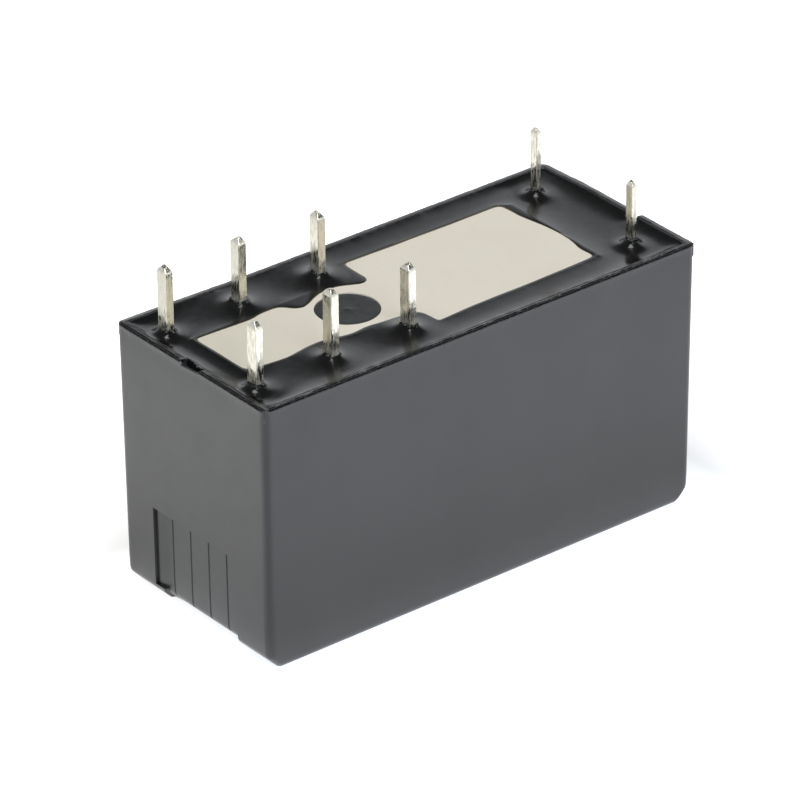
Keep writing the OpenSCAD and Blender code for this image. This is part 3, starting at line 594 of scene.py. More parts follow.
# %% The liquid surface between the fixed places
CAPILLARY_LENGTH, ROUNDS, OVERSHOOT = 1.1, 260, 1.88
thin_reach = 0.07 + 0.16 * smooth_step(Y, 1.5, 3.6)  # the film runs out softly along the back shore
film_floor = np.where(plate_gap < 0.02, LAND_Z + 0.030 * (1 - np.exp(-shore_gap.clip(0) / thin_reach)), 0.0)
narrowing = smooth_step(-X, 11.3, 12.9) + smooth_step(X, 9.8, 11.2)
pull = (GRID / (CAPILLARY_LENGTH * (1 - 0.62 * narrowing))) ** 2
checks = np.add.outer(np.arange(X.shape[0]), np.arange(X.shape[1])) % 2
for _ in range(ROUNDS):
    for colour in (0, 1):
        free = ~fixed[1:-1, 1:-1] & (checks[1:-1, 1:-1] == colour)
        around = resin_z[:-2, 1:-1] + resin_z[2:, 1:-1] + resin_z[1:-1, :-2] + resin_z[1:-1, 2:]
        rest = (around + (pull * RESIN_LEVEL)[1:-1, 1:-1]) / (4 + pull[1:-1, 1:-1])
        centre = resin_z[1:-1, 1:-1]
        centre[free] += OVERSHOOT * (rest - centre)[free]
        np.maximum(centre, film_floor[1:-1, 1:-1], out=centre, where=free)
resin_z += np.where(fixed, 0, 0.006 * waves * smooth_step(shore_gap, 0.1, 0.6))
print("resin heights in mm:", resin_z.min().round(3), resin_z.max().round(3))

# %% [markdown]
# ## From heights to a solid
# A surface alone would be an open sheet, and a sheet cannot be printed or measured. So the grid gets a
# flat underside and a skirt round every edge, also round the hole that the bare land leaves. Each
# point also keeps how thick the resin is there, for its colour.

# %% The resin as a closed solid
def grid_solid(name, heights, low, keep):
    """Closed solid under a grid of heights, where keep is true for all four corners of a square."""
    rows, columns = heights.shape
    lift = rows * columns
    index = np.arange(lift).reshape(rows, columns)
    square = keep[:-1, :-1] & keep[1:, :-1] & keep[1:, 1:] & keep[:-1, 1:]
    top = np.column_stack([X.ravel(), Y.ravel(), heights.ravel()])
    under = np.column_stack([X.ravel(), Y.ravel(), np.full(X.size, low)])
    faces = []
    for i, j in zip(*np.nonzero(square)):
        a, b, c, d = index[i, j], index[i + 1, j], index[i + 1, j + 1], index[i, j + 1]
        faces.append((a, b, c, d))
        faces.append((d + lift, c + lift, b + lift, a + lift))
        sides = ((a, b, i, j - 1), (b, c, i + 1, j), (c, d, i, j + 1), (d, a, i - 1, j))
        for p, q, row, column in sides:
            if not (0 <= row < rows - 1 and 0 <= column < columns - 1 and square[row, column]):
                faces.append((q, p, p + lift, q + lift))
    points = np.vstack([top, under])
    used = np.zeros(len(points), bool)
    used[np.array(faces).ravel()] = True
    number = np.cumsum(used) - 1
    piece = mesh_from(name, points[used], number[np.array(faces)].tolist(), sharp_angle=75)
    return piece, used


def set_film(piece, values):
    """Stores how thick the resin is at each point: 0 where it is a film and 1 where it is deep."""
    layer = piece.data.attributes.new("film", "FLOAT", "POINT")
    layer.data.foreach_set("value", values.astype(np.float32))


resin, used = grid_solid("sealing_resin", resin_z, RESIN_LOW, shore_gap > -0.22)
film = np.where(plate_gap < 0.03, np.clip((resin_z - LAND_Z) / 0.024, 0, 1), 1.0)
set_film(resin, np.concatenate([film.ravel(), np.ones(film.size)])[used])
print("resin:", len(resin.data.polygons), "faces")

# %% [markdown]
# ## The resin's finish
# Cured black epoxy is as smooth as glass, with a soft orange-peel swell. Where it runs out to a thin film
# on the beige land, light gets through and the edge looks olive brown. The film attribute on the
# mesh says how thick the resin is, so that the colour turns exactly where it thins.

# %% Black resin
resin_finish = Finish("black_sealing_resin", IOR=1.50)
thickness = resin_finish.attribute("film")
resin_finish.feed("Base Color", resin_finish.colours(
    thickness, (0.0, (0.30, 0.255, 0.18)), (0.2, (0.12, 0.106, 0.070)), (0.45, (0.035, 0.032, 0.022)),
    (0.75, (0.009, 0.009, 0.008)), (1.0, (0.0045, 0.0048, 0.005))))
resin_finish.feed("Roughness", resin_finish.spread(resin_finish.noise(0.4, 4), 0.14, 0.24))
resin_finish.bump((resin_finish.noise(1.1, 2), 0.006), (resin_finish.noise(0.12, 2), 0.0006))
dress(resin, resin_finish, "epoxy_seal")

# %% [markdown]
# ## The base and its bare land
# The base is moulded in a pale beige plastic. Only its raised land shows, dead flat, with faint clouds
# and specks of the mould, and with painted shade that darkens it towards the -X end. The base is the
# CAD solid itself; a slightly wider plate on top carries the land out to where the shore wanders beyond
# the moulded edge.

# %% Copies, added shells and circles
def merged_copy(node, name):
    """Copy of a CAD node with its loose triangles merged into one skin."""
    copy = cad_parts[node].copy()
    copy.data = copy.data.copy()
    copy.name = copy.data.name = name
    copy.parent = None
    for key in list(copy.keys()):
        del copy[key]
    bpy.context.scene.collection.objects.link(copy)
    mesh = bmesh.new()
    mesh.from_mesh(copy.data)
    bmesh.ops.remove_doubles(mesh, verts=mesh.verts, dist=1e-7)
    mesh.to_mesh(copy.data)
    mesh.free()
    return copy


def add_shell(piece, points, faces):
    """Adds a closed shell, given in millimetres, to a piece's mesh."""
    mesh = bmesh.new()
    mesh.from_mesh(piece.data)
    verts = [mesh.verts.new(Vector(p) * MM) for p in points]
    for face in faces:
        mesh.faces.new([verts[i] for i in face])
    mesh.to_mesh(piece.data)
    mesh.free()


def circle(centre, radius, z, count):
    """Points round an upright axis."""
    angles = [2 * math.pi * i / count for i in range(count)]
    return [(centre[0] + radius * math.cos(a), centre[1] + radius * math.sin(a), z) for a in angles]


print("helpers for solids ready")

# %% Land plate with the plug's hole
PLUG_CENTRE, PLUG_HOLE = (-4.1, 0.0), 1.77


def plate_with_hole(edge, centre, radius, low, high, chamfer=0.03, count=96):
    """Points and faces of a closed plate with a round hole whose upper edge is chamfered."""
    sides = len(edge)
    points = [(x, y, high) for x, y in edge]
    for r, z in ((radius + chamfer, high), (radius, high - chamfer), (radius, low)):
        points += circle(centre, r, z, count)
    points += [(x, y, low) for x, y in edge]
    faces = []
    for z, outer, inner in ((high, 0, sides), (low, sides + 3 * count, sides + 2 * count)):
        hole = [Vector(p) for p in circle(centre, radius, z, count)]
        for face in tessellate_polygon([[Vector((x, y, z)) for x, y in edge], hole]):
            corners = [outer + i if i < sides else inner + i - sides for i in face]
            a, b, c = (Vector(points[i]) for i in corners)
            upward = (b - a).cross(c - a).z > 0
            faces.append(corners if upward == (z == high) else corners[::-1])
    for j in range(count):
        k = (j + 1) % count
        for level in range(2):
            near, far = sides + level * count, sides + (level + 1) * count
            faces.append([near + j, near + k, far + k, far + j])
    for j in range(sides):
        k = (j + 1) % sides
        faces.append([k, j, sides + 3 * count + j, sides + 3 * count + k])
    return points, faces


base = merged_copy("base", "base_with_land")
add_shell(base, *plate_with_hole(land_edge, PLUG_CENTRE, PLUG_HOLE, RIM_Z - 0.7, LAND_Z))
base.data.shade_flat()
print("base:", len(base.data.polygons), "faces")

# %% Beige base plastic
base_finish = Finish("beige_base_plastic", IOR=1.5)
clouding = base_finish.noise(4.0, 4)
speckle = base_finish.noise(0.09, 3)
beige = base_finish.colours(clouding, (0.3, (0.660, 0.620, 0.535)), (0.7, (0.695, 0.655, 0.575)))
# Painted shade: the land is darkened towards the -X end.
beige = base_finish.mixed(base_finish.fade("X", 1, 0, -11, -5), beige, (0.60, 0.572, 0.485))
specks = base_finish.spread(speckle, 0.0, 0.35, 0.58, 0.75)
base_finish.feed("Base Color", base_finish.mixed(specks, beige, (0.50, 0.46, 0.38)))
base_finish.feed("Roughness", base_finish.spread(base_finish.noise(0.8, 3), 0.50, 0.62))
base_finish.bump((speckle, 0.003), (base_finish.noise(1.5, 2), 0.004))
dress(base, base_finish, "base")

# %% [markdown]
# ## The plug
# A round recess in the land is filled with dark grey resin after the relay has been dried out. It
# shrinks a little as it sets, which leaves a fine shadow line round it and a small nipple in the middle
# where the needle was drawn away. It is turned from one profile.

# %% The plug
def turned(name, profile, centre, count=96):
    """Solid of revolution about an upright axis; its (radius, z) points start and end on the axis."""
    points = [(centre[0], centre[1], profile[0][1])]
    for r, z in profile[1:-1]:
        points += circle(centre, r, z, count)
    points.append((centre[0], centre[1], profile[-1][1]))
    faces = [(0, 1 + (i + 1) % count, 1 + i) for i in range(count)]
    faces += [tuple(1 + v for v in face) for face in strips(len(profile) - 2, count)]
    last = 1 + (len(profile) - 3) * count
    faces += [(last + i, last + (i + 1) % count, len(points) - 1) for i in range(count)]
    return mesh_from(name, points, faces)


plug_top = LAND_Z - 0.035
plug_profile = [(0, RIM_Z - 0.48), (1.70, RIM_Z - 0.48), (1.735, RIM_Z - 0.44)]
plug_profile += [(radius, plug_top + rise) for radius, rise in (
    (1.735, -0.05), (1.715, -0.012), (1.67, 0), (1.50, 0.002), (1.1, -0.008), (0.6, -0.02), (0.30, -0.018),
    (0.20, -0.005), (0.13, 0.03), (0.07, 0.055), (0, 0.06))]
plug = turned("sealing_plug", plug_profile, PLUG_CENTRE)
for vertex in plug.data.vertices:
    x, y, z = vertex.co / MM
    if z > plug_top - 0.03:
        vertex.co.z += 0.007 * MM * ragged(x, y, 0, 0.8, 2.2)
plug_finish = Finish("grey_plug_resin", IOR=1.5)
plug_clouds = plug_finish.noise(0.9, 4)
plug_finish.feed("Base Color", plug_finish.colours(
    plug_clouds, (0.3, (0.010, 0.0125, 0.013)), (0.7, (0.018, 0.021, 0.021))))
plug_finish.feed("Roughness", plug_finish.spread(plug_finish.noise(0.3, 3), 0.42, 0.55))
plug_finish.bump((plug_finish.noise(0.07, 3), 0.003), (plug_clouds, 0.008))
dress(plug, plug_finish, "vent_plug")
print("plug:", len(plug.data.polygons), "faces")

# %% [markdown]
# ## The pins
# Each pin is sheared from a thin copper strip, so its broad faces are flat, its edges carry a fine burr
# and its tip is nipped to a blunt wedge. A dip in tin leaves a bright skin that runs thicker here and
# there. The part of a terminal inside the case is the CAD solid, cut off below the resin; the part
# outside is rebuilt from rings with these marks of the press, each pin from a seed of its own.

# %% A pin's section, and the cut that it starts from
PIN_CUT_Z = RIM_Z - 1.2
NIP = [(-0.28, 0.03), (-0.23, 0.12), (-0.17, 0.30), (-0.11, 0.50), (-0.06, 0.68), (-0.02, 0.82),
       (-0.005, 0.93)]  # height under the tip, and the share that the nip takes there


def pin_section(half_t, half_w, corner):
    """Points round a pin, side by side, with even steps along each side."""
    long_run = [i / 3 - 1 for i in range(7)]
    short_run = [i / 2 - 1 for i in range(5)]
    broad, narrow = half_w - corner, half_t - corner
    section = [(-half_t, -share * broad) for share in long_run]
    section += [(share * narrow, -half_w) for share in short_run]
    section += [(half_t, share * broad) for share in long_run]
    return section + [(-share * narrow, half_w) for share in short_run]


def cut_above(piece, level):
    """Cuts a closed mesh level, keeps what is below and closes the cut."""
    mesh = bmesh.new()
    mesh.from_mesh(piece.data)
    cut = bmesh.ops.bisect_plane(mesh, geom=mesh.verts[:] + mesh.edges[:] + mesh.faces[:],
                                 plane_co=(0, 0, level * MM), plane_no=(0, 0, 1), clear_outer=True)
    edges = [e for e in cut["geom_cut"] if isinstance(e, bmesh.types.BMEdge)]
    bmesh.ops.contextual_create(mesh, geom=edges)
    bmesh.ops.recalc_face_normals(mesh, faces=mesh.faces[:])
    mesh.to_mesh(piece.data)
    mesh.free()


print("pin section:", len(pin_section(0.25, 0.38, 0.035)), "points, cut at", PIN_CUT_Z.round(2), "mm")

# %% One pin outside the case
def pin_shell(x, y, thickness, width, tip_z, seed):
    """Rings of a sheared and tinned pin, from the cut inside the case to the nipped tip."""
    draw = random.Random(seed)
    half_t, half_w = thickness / 2, width / 2
    corner = 0.07 * min(thickness, width)
    side = pin_section(half_t, half_w, corner)
    lean = [draw.uniform(-0.010, 0.010) for _ in range(2)]
    tilt = draw.uniform(-0.16, 0.16), draw.uniform(-0.10, 0.10)
    levels = [PIN_CUT_Z, RIM_Z - 0.6, *np.linspace(RIM_Z - 0.4, tip_z - 0.34, 58)]
    levels = [(z, 0.0) for z in levels] + [(tip_z + down, cut) for down, cut in NIP]
    points = []
    for z, cut in levels:
        out = smooth_step(z, RESIN_LEVEL, RESIN_LEVEL + 0.5)
        reach = max((z - RIM_Z) / (tip_z - RIM_Z), 0)
        burr = 0.018 * max(0, ragged(0, 0, z, 0.07, seed + 3)) * out * (1 - min(cut * 3, 1))
        for px, py in side:
            wave = 0.006 * ragged(px * 2, py * 2, z, 0.45, seed) + 0.004 * ragged(px, py, z, 0.14, seed)
            scale_x = 1 + (wave * out) / half_t - cut * 0.72
            scale_y = 1 + (wave * out) / half_w - cut * 0.76
            if px > half_t - corner * 1.5 and py < -half_w + corner * 1.5:
                scale_x += burr / half_t
                scale_y += burr / half_w
            torn = 0.02 * ragged(px, py, 0, 0.15, seed + 9) if cut > 0.3 else 0
            rise = cut * (tilt[0] * px + tilt[1] * py) + torn
            points.append((x + px * scale_x + lean[0] * reach, y + py * scale_y + lean[1] * reach, z + rise))
    return points, strips(len(levels), len(side)) + caps(len(levels), len(side))


tallest = max(PINS.values(), key=lambda pin: pin[4])
print("one pin:", len(pin_shell(*tallest, seed=0)[0]), "points, up to", tallest[4].round(2), "mm")

# %% [markdown]
# ## Tin
# Tin is a soft bright metal. The rolled broad sides, which face along X, are painted a dimmer, yellower
# tin and the sheared sides a brighter one, as painted shade and painted light. The dip leaves streaks
# along the pin that are in turn mirror-bright and satin, and flux stains the foot. Which way a face points
# decides between the painted dim and bright tin, and its height places the stain. Streaks and roughness
# come from one noise, because the same flow of tin made both.

# %% Tinned finish
pin_finish = Finish("tinned_copper", Metallic=1.0)
streaks = pin_finish.noise(0.10, 4, stretch=(1, 1, 6))
blotches = pin_finish.noise(0.28, 5, stretch=(1, 1, 1.6))
foot = pin_finish.maths("MULTIPLY", pin_finish.fade("Z", 1, 0, RIM_Z - 0.1, RIM_Z + 0.9),
                        pin_finish.fade("Z", 0, 1, RIM_Z - 1.4, RIM_Z - 0.7))
stain = pin_finish.maths("MULTIPLY", foot, pin_finish.spread(blotches, 0, 1, 0.42, 0.60))
# Painted shade and painted light: broad sides facing along X get a dimmer tin, narrow sides a brighter one.
broad_side_tin_painted_dim = pin_finish.colours(streaks, (0.30, (0.57, 0.555, 0.475)), (0.65, (0.635, 0.615, 0.54)))
narrow_side_tin_painted_bright = pin_finish.colours(streaks, (0.30, (0.74, 0.71, 0.61)), (0.65, (0.88, 0.85, 0.74)))
broad_side_share = pin_finish.spread(pin_finish.facing("X"), 0, 1, 0.4, 0.8)
tin_with_painted_side_light = pin_finish.mixed(broad_side_share, narrow_side_tin_painted_bright, broad_side_tin_painted_dim)
pin_finish.feed("Base Color", pin_finish.mixed(stain, tin_with_painted_side_light, (0.56, 0.545, 0.48)))
dulling = pin_finish.spread(streaks, 0.38, 0.10, 0.38, 0.60)
pin_finish.feed("Roughness", pin_finish.maths("ADD", dulling, pin_finish.maths("MULTIPLY", stain, 0.42)))
pin_finish.bump((streaks, 0.003), (blotches, 0.010), (pin_finish.noise(0.04, 2), 0.0006))
print("finish:", pin_finish.material.name)

# %% All eight terminals
PIN_SHARP_ANGLE = math.radians(28)
for (kind, side), (x, y, thickness, width, tip_z) in PINS.items():
    node = f"{kind}_terminal_{side}"
    terminal = merged_copy(node, f"tinned_{kind}_terminal_{side}")
    cut_above(terminal, PIN_CUT_Z)
    add_shell(terminal, *pin_shell(x, y, thickness, width, tip_z, seed=len(node) + 7 * side + int(x)))
    terminal.data.shade_smooth()
    terminal.data.set_sharp_from_angle(angle=PIN_SHARP_ANGLE)
    dress(terminal, pin_finish, node)
print("terminals:", len(PINS))

# %% [markdown]
# ## Beads of resin at the pins' feet
# Where the resin was drawn up a pin it broke into small glossy beads. They repeat with small changes, so
# Geometry Nodes scatter them: one rounded bead is set on each marked place with a size drawn from a
# fixed seed. The result is turned into a plain mesh.

# %% Nodes that set beads on places
def node_tree(name, **inputs):
    """Geometry node group with a geometry input and output and named inputs between."""
    tree = bpy.data.node_groups.new(name, "GeometryNodeTree")
    tree.interface.new_socket("Geometry", in_out="INPUT", socket_type="NodeSocketGeometry")
    for label, kind in inputs.items():
        tree.interface.new_socket(label.replace("_", " "), in_out="INPUT", socket_type=kind)
    tree.interface.new_socket("Geometry", in_out="OUTPUT", socket_type="NodeSocketGeometry")
    return tree, tree.nodes.new("NodeGroupInput"), tree.nodes.new("NodeGroupOutput")


def grown(name, start, tree, values, finish):
    """Plain mesh that a node tree makes from a start mesh, with its inputs set by identifier."""
    modifier = start.modifiers.new("nodes", "NODES")
    modifier.node_group = tree
    identifiers = {item.name: item.identifier for item in tree.interface.items_tree if item.in_out == "INPUT"}
    for label, value in values.items():
        modifier[identifiers[label]] = value
    modifier[identifiers["Finish"]] = finish.material
    graph = bpy.context.evaluated_depsgraph_get()
    mesh = bpy.data.meshes.new_from_object(start.evaluated_get(graph))
    piece = bpy.data.objects.new(name, mesh)
    mesh.name = name
    bpy.context.scene.collection.objects.link(piece)
    start.modifiers.clear()
    bpy.data.objects.remove(start)
    mesh.shade_smooth()
    return piece


def end_tree(tree, entry, leave, geometry):
    """Ends a node tree in Realize Instances and Set Material."""
    real = tree.nodes.new("GeometryNodeRealizeInstances")
    coat = tree.nodes.new("GeometryNodeSetMaterial")
    tree.links.new(geometry, real.inputs["Geometry"])
    tree.links.new(real.outputs["Geometry"], coat.inputs["Geometry"])
    tree.links.new(entry.outputs["Finish"], coat.inputs["Material"])
    tree.links.new(coat.outputs["Geometry"], leave.inputs["Geometry"])
    print(tree.name, "has", len(tree.nodes), "nodes")


bead_tree, entry, leave = node_tree("beads_on_places", Bead_size="NodeSocketFloat", Seed="NodeSocketInt",
                                    Finish="NodeSocketMaterial")
add, join = bead_tree.nodes.new, bead_tree.links.new
ball = add("GeometryNodeMeshIcoSphere")
ball.inputs["Subdivisions"].default_value = 3
join(entry.outputs["Bead size"], ball.inputs["Radius"])
size_draw = add("FunctionNodeRandomValue")
size_draw.data_type = "FLOAT_VECTOR"
size_draw.inputs["Min"].default_value = (0.55, 0.55, 0.45)
size_draw.inputs["Max"].default_value = (1.15, 1.15, 1.0)
join(entry.outputs["Seed"], size_draw.inputs["Seed"])
set_down = add("GeometryNodeInstanceOnPoints")
join(entry.outputs["Geometry"], set_down.inputs["Points"])
join(ball.outputs["Mesh"], set_down.inputs["Instance"])
join(size_draw.outputs["Value"], set_down.inputs["Scale"])
end_tree(bead_tree, entry, leave, set_down.outputs["Instances"])

# %% The beads
BEAD_SIZE, BEAD_SHARE = 0.135, 0.85  # radius in millimetres, and the share of places that have one
bead_places = []
for (_, side), (x, y, thickness, width, _) in PINS.items():
    draw = random.Random(int(100 + 10 * side + x))
    reach_x, reach_y = thickness / 2 + 0.05, width / 2 + 0.06
    for fx, fy in ((-0.88, -0.85), (-0.25, -1.0), (0.5, -1.0), (0.88, -0.85), (-0.92, -0.2)):
        if draw.random() < BEAD_SHARE:
            height = RESIN_LEVEL + 0.50 + draw.uniform(-0.10, 0.06)
            bead_places.append((x + fx * reach_x, y + fy * reach_y, height))
start = mesh_from("bead_places", bead_places, [])
beads = grown("resin_beads", start, bead_tree, {"Bead size": BEAD_SIZE * MM, "Seed": 4}, resin_finish)
set_film(beads, np.ones(len(beads.data.vertices)))
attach(beads, "housing")
print("beads:", len(bead_places))

# %% [markdown]
# ## Finishes of the works
# The works are out of sight in the sealed case, but the part can be opened, so each of them has its real
# finish: dull soft iron with an electroplated skin, rolled spring bronze with its grain along the strip,
# sintered silver, enamelled wire, polyester tape and moulded plastics.

# %% Finishes of metals
def two_tones(name, tone, dark, light, roughness, bumps, dulling=None, **shader_values):
    """Finish in two tones of one noise, which also drives the roughness unless dulling gives another.

    tone, dulling and each first value of bumps are a noise's size, detail and stretch; a bump of None
    follows the tones.
    """
    finish = Finish(name, **shader_values)
    tones = finish.noise(*tone)
    dull = finish.noise(*dulling) if dulling else tones
    finish.feed("Base Color", finish.colours(tones, (0.3, dark), (0.7, light)))
    finish.feed("Roughness", finish.spread(dull, *roughness))
    finish.bump(*((finish.noise(*grain) if grain else tones, depth) for grain, depth in bumps))
    print("finish:", name)
    return finish


iron = two_tones("plated_soft_iron", (0.12, 4), (0.40, 0.40, 0.405), (0.52, 0.52, 0.515), (0.34, 0.52),
                 [(None, 0.004), ((1.4, 3), 0.010)], dulling=(0.5, 4), Metallic=1.0)
bronze = two_tones("rolled_spring_bronze", (0.05, 3, (1, 1, 14)), (0.58, 0.36, 0.20), (0.70, 0.45, 0.27),
                   (0.24, 0.38), [(None, 0.0015)], Metallic=1.0)
silver = two_tones("silver_contact", (0.06, 3), (0.76, 0.75, 0.72), (0.87, 0.86, 0.84), (0.24, 0.40),
                   [(None, 0.002)], dulling=(0.3, 3), Metallic=1.0)
steel = two_tones("rolled_spring_steel", (0.04, 3, (12, 1, 12)), (0.50, 0.50, 0.49), (0.62, 0.62, 0.61),
                  (0.24, 0.36), [(None, 0.0015)], Metallic=1.0)
wire_enamel = two_tones("enamelled_copper_wire", (0.5, 3), (0.42, 0.13, 0.045), (0.60, 0.22, 0.08),
                        (0.25, 0.35), [((0.05, 2), 0.001)],
                        Metallic=0.75, IOR=1.6, Coat_Weight=0.6, Coat_Roughness=0.12)

# %% Finishes of plastics and tape
spool_plastic = two_tones("spool_plastic", (2.5, 4), (0.50, 0.47, 0.40), (0.58, 0.55, 0.47), (0.42, 0.55),
                          [((0.06, 3), 0.003)], IOR=1.5)
card_plastic = two_tones("card_plastic", (1.8, 4), (0.70, 0.69, 0.65), (0.78, 0.77, 0.73), (0.36, 0.48),
                         [((0.05, 3), 0.002)], IOR=1.5)
tape_finish = two_tones("polyester_tape", (1.2, 3), (0.66, 0.47, 0.10), (0.76, 0.56, 0.15), (0.26, 0.40),
                        [((0.16, 2, (1, 30, 30)), 0.01), (None, 0.02)],
                        IOR=1.6, Coat_Weight=0.3, Coat_Roughness=0.2)

# %% [markdown]
# ## The winding
# The coil is wound with hundreds of turns of fine enamelled wire. Only the outer layer can be seen, at
# both ends of the tape. A spiral follows a rule, so Geometry Nodes draw it: a spiral curve gets a round
# section, is laid along the coil's axis and is joined to the sleeve that stands for the layers below.

# %% Nodes that wind the wire
winding_tree, entry, leave = node_tree(
    "outer_wire_layer", Wire_diameter="NodeSocketFloat", Coil_radius="NodeSocketFloat",
    Length="NodeSocketFloat", Turns="NodeSocketFloat", Start="NodeSocketVector", Finish="NodeSocketMaterial")
add, join = winding_tree.nodes.new, winding_tree.links.new
spiral = add("GeometryNodeCurveSpiral")
spiral.inputs["Resolution"].default_value = 40
join(entry.outputs["Turns"], spiral.inputs["Rotations"])
join(entry.outputs["Coil radius"], spiral.inputs["Start Radius"])
join(entry.outputs["Coil radius"], spiral.inputs["End Radius"])
join(entry.outputs["Length"], spiral.inputs["Height"])
half_wire = add("ShaderNodeMath")
half_wire.operation = "MULTIPLY"
half_wire.inputs[1].default_value = 0.5
join(entry.outputs["Wire diameter"], half_wire.inputs[0])
section = add("GeometryNodeCurvePrimitiveCircle")
section.inputs["Resolution"].default_value = 6
join(half_wire.outputs["Value"], section.inputs["Radius"])
wire = add("GeometryNodeCurveToMesh")
wire.inputs["Fill Caps"].default_value = True
join(spiral.outputs["Curve"], wire.inputs["Curve"])
join(section.outputs["Curve"], wire.inputs["Profile Curve"])
lay = add("GeometryNodeTransform")
lay.inputs["Rotation"].default_value = (0, math.pi / 2, 0)
join(wire.outputs["Mesh"], lay.inputs["Geometry"])
join(entry.outputs["Start"], lay.inputs["Translation"])
together = add("GeometryNodeJoinGeometry")
join(lay.outputs["Geometry"], together.inputs["Geometry"])
join(entry.outputs["Geometry"], together.inputs["Geometry"])
end_tree(winding_tree, entry, leave, together.outputs["Geometry"])

# %% The wound coil
def sleeve_along_x(name, start, end, outer, bore, centre_z, count=64):
    """Closed sleeve about an axis along X, with all sizes in millimetres."""
    points = []
    for x, radius in ((start, outer), (end, outer), (end, bore), (start, bore)):
        points += [(x, y, z) for y, z, _ in circle((0, centre_z), radius, 0, count)]
    wrapped = [[v % (4 * count) for v in face] for face in strips(5, count)]
    return mesh_from(name, points, wrapped)


WIRE, SPOOL_RADIUS = 0.12, 3.0  # the wire's diameter, and the radius that the spool leaves free
(start_x, _, low_z), (end_x, _, high_z) = box_mm("winding")
coil_centre_z, coil_radius = (low_z + high_z) / 2, (high_z - low_z) / 2
wound_length = end_x - start_x - 1.2 * WIRE
turns = wound_length / (WIRE * 1.02)
layers = sleeve_along_x("inner_layers", start_x + 0.02, end_x - 0.02, coil_radius - 0.8 * WIRE, SPOOL_RADIUS,
                        coil_centre_z)
winding = grown("wound_coil", layers, winding_tree, {
    "Wire diameter": WIRE * MM, "Coil radius": (coil_radius - 0.52 * WIRE) * MM, "Turns": turns,
    "Length": wound_length * MM, "Start": ((start_x + 0.6 * WIRE) * MM, 0, coil_centre_z * MM)}, wire_enamel)
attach(winding, "housing")
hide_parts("winding")
print("winding:", round(turns), "turns,", len(winding.data.polygons), "faces")

# %% [markdown]
# ## The works keep their solids
# The moving works and the coil's core are the CAD solids themselves, so that they fit and move exactly as
# in the CAD. Only their finishes are new. Modelling them twice would risk a clash for no gain.

# %% The works wear their finishes
def paint(finish, *nodes):
    """Finish for CAD nodes that stay as they are."""
    for node in nodes:
        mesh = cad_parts[node].data
        mesh.materials.clear()
        mesh.materials.append(finish.material)
    print(finish.material.name, "on", len(nodes), "nodes")


paint(iron, "core", "yoke", "armature")
paint(bronze, "contact_spring_1", "contact_spring_2")
paint(silver, *(f"{kind}_contact_{side}" for kind in ("nc", "no", "moving") for side in (1, 2)))
paint(steel, "armature_spring")
paint(wire_enamel, "lead_wire_1", "lead_wire_2")
paint(tape_finish, "winding_tape")
paint(spool_plastic, "bobbin")
paint(base_finish, "pole_barrier")
paint(card_plastic, "actuator_card")

# %% [markdown]
# ## The floor
# The photograph was taken on a bright light table, which leaves no shadow and mirrors in the cover's
# walls. The floor therefore glows: in a narrow line at the relay's foot, and again more and more towards
# a wide ring that ends three centimetres off. Each height of a wall mirrors another distance on the
# floor, so the glow over the distance follows the walls' brightness over their height. Off the corner
# between the front and the pocket's end it stays dim, because the photograph's upright edge there is
# dark. None of this follows the camera: the pattern lies still and belongs to the room.

# %% Floor
FLOOR_REACH, FLOOR_GLOW = 900, 0.18
floor = mesh_from("studio_floor", [(x * FLOOR_REACH, y * FLOOR_REACH, 0) for x, y in
                                   ((-1, -1), (1, -1), (1, 1), (-1, 1))], [(0, 1, 2, 3)])
floor_finish = Finish("light_table", Base_Color=(0.85, 0.85, 0.85, 1), Roughness=0.9)
floor_maths = floor_finish.maths
beyond = []  # how far a place lies beyond the cover along X and along Y
for axis, half in (("X", HALF_LENGTH), ("Y", HALF_WIDTH)):
    away = floor_maths("ABSOLUTE", floor_finish.along(axis), 0)
    away = floor_maths("MAXIMUM", floor_maths("SUBTRACT", away, float(half) * MM), 0)
    beyond.append(floor_maths("POWER", away, 2))
near_relay = floor_maths("SQRT", floor_maths("ADD", *beyond), 0)
rising = floor_finish.spread(near_relay, 0.05, 0.62, 0.0, 0.015)
far_glow = floor_finish.spread(near_relay, 0.0, 0.12, 0.012, 0.026)
fading = floor_finish.spread(near_relay, 1.0, 0.0, 0.0235, 0.0300)
past_end = floor_maths("SUBTRACT", -float(HALF_LENGTH) * MM, floor_finish.along("X"))
past_front = floor_maths("SUBTRACT", -float(HALF_WIDTH) * MM, floor_finish.along("Y"))
off_corner = floor_maths("MINIMUM", past_end, past_front)
beside_corner = floor_finish.spread(off_corner, 1.0, 0.0, -0.0005, 0.0020)
glow = floor_maths("MULTIPLY", floor_maths("MULTIPLY", rising, fading), beside_corner)
foot_line = floor_finish.spread(near_relay, 0.60, 0.0, 0.0, 0.0030)
glow = floor_maths("ADD", glow, floor_maths("ADD", foot_line, far_glow))
floor_finish.feed("Emission Strength", floor_maths("ADD", glow, FLOOR_GLOW))
cool_side = floor_finish.fade("Y", 1, 0, -10, 4)
floor_finish.feed("Emission Color", floor_finish.mixed(cool_side, (1.0, 1.0, 1.0), (0.93, 1.0, 1.10)))
floor.data.materials.append(floor_finish.material)
print("floor:", 2 * FLOOR_REACH, "mm wide")

# %% [markdown]
# ## The room
# Higher up the room is dark, which is why the level resin looks black from the camera. The band that the
# level resin mirrors is a little brighter to one side, as in a room with a window. A colour ramp over
# the height and one product of ranges are enough for this; a picture of a room would mirror shapes
# that the photograph does not show.

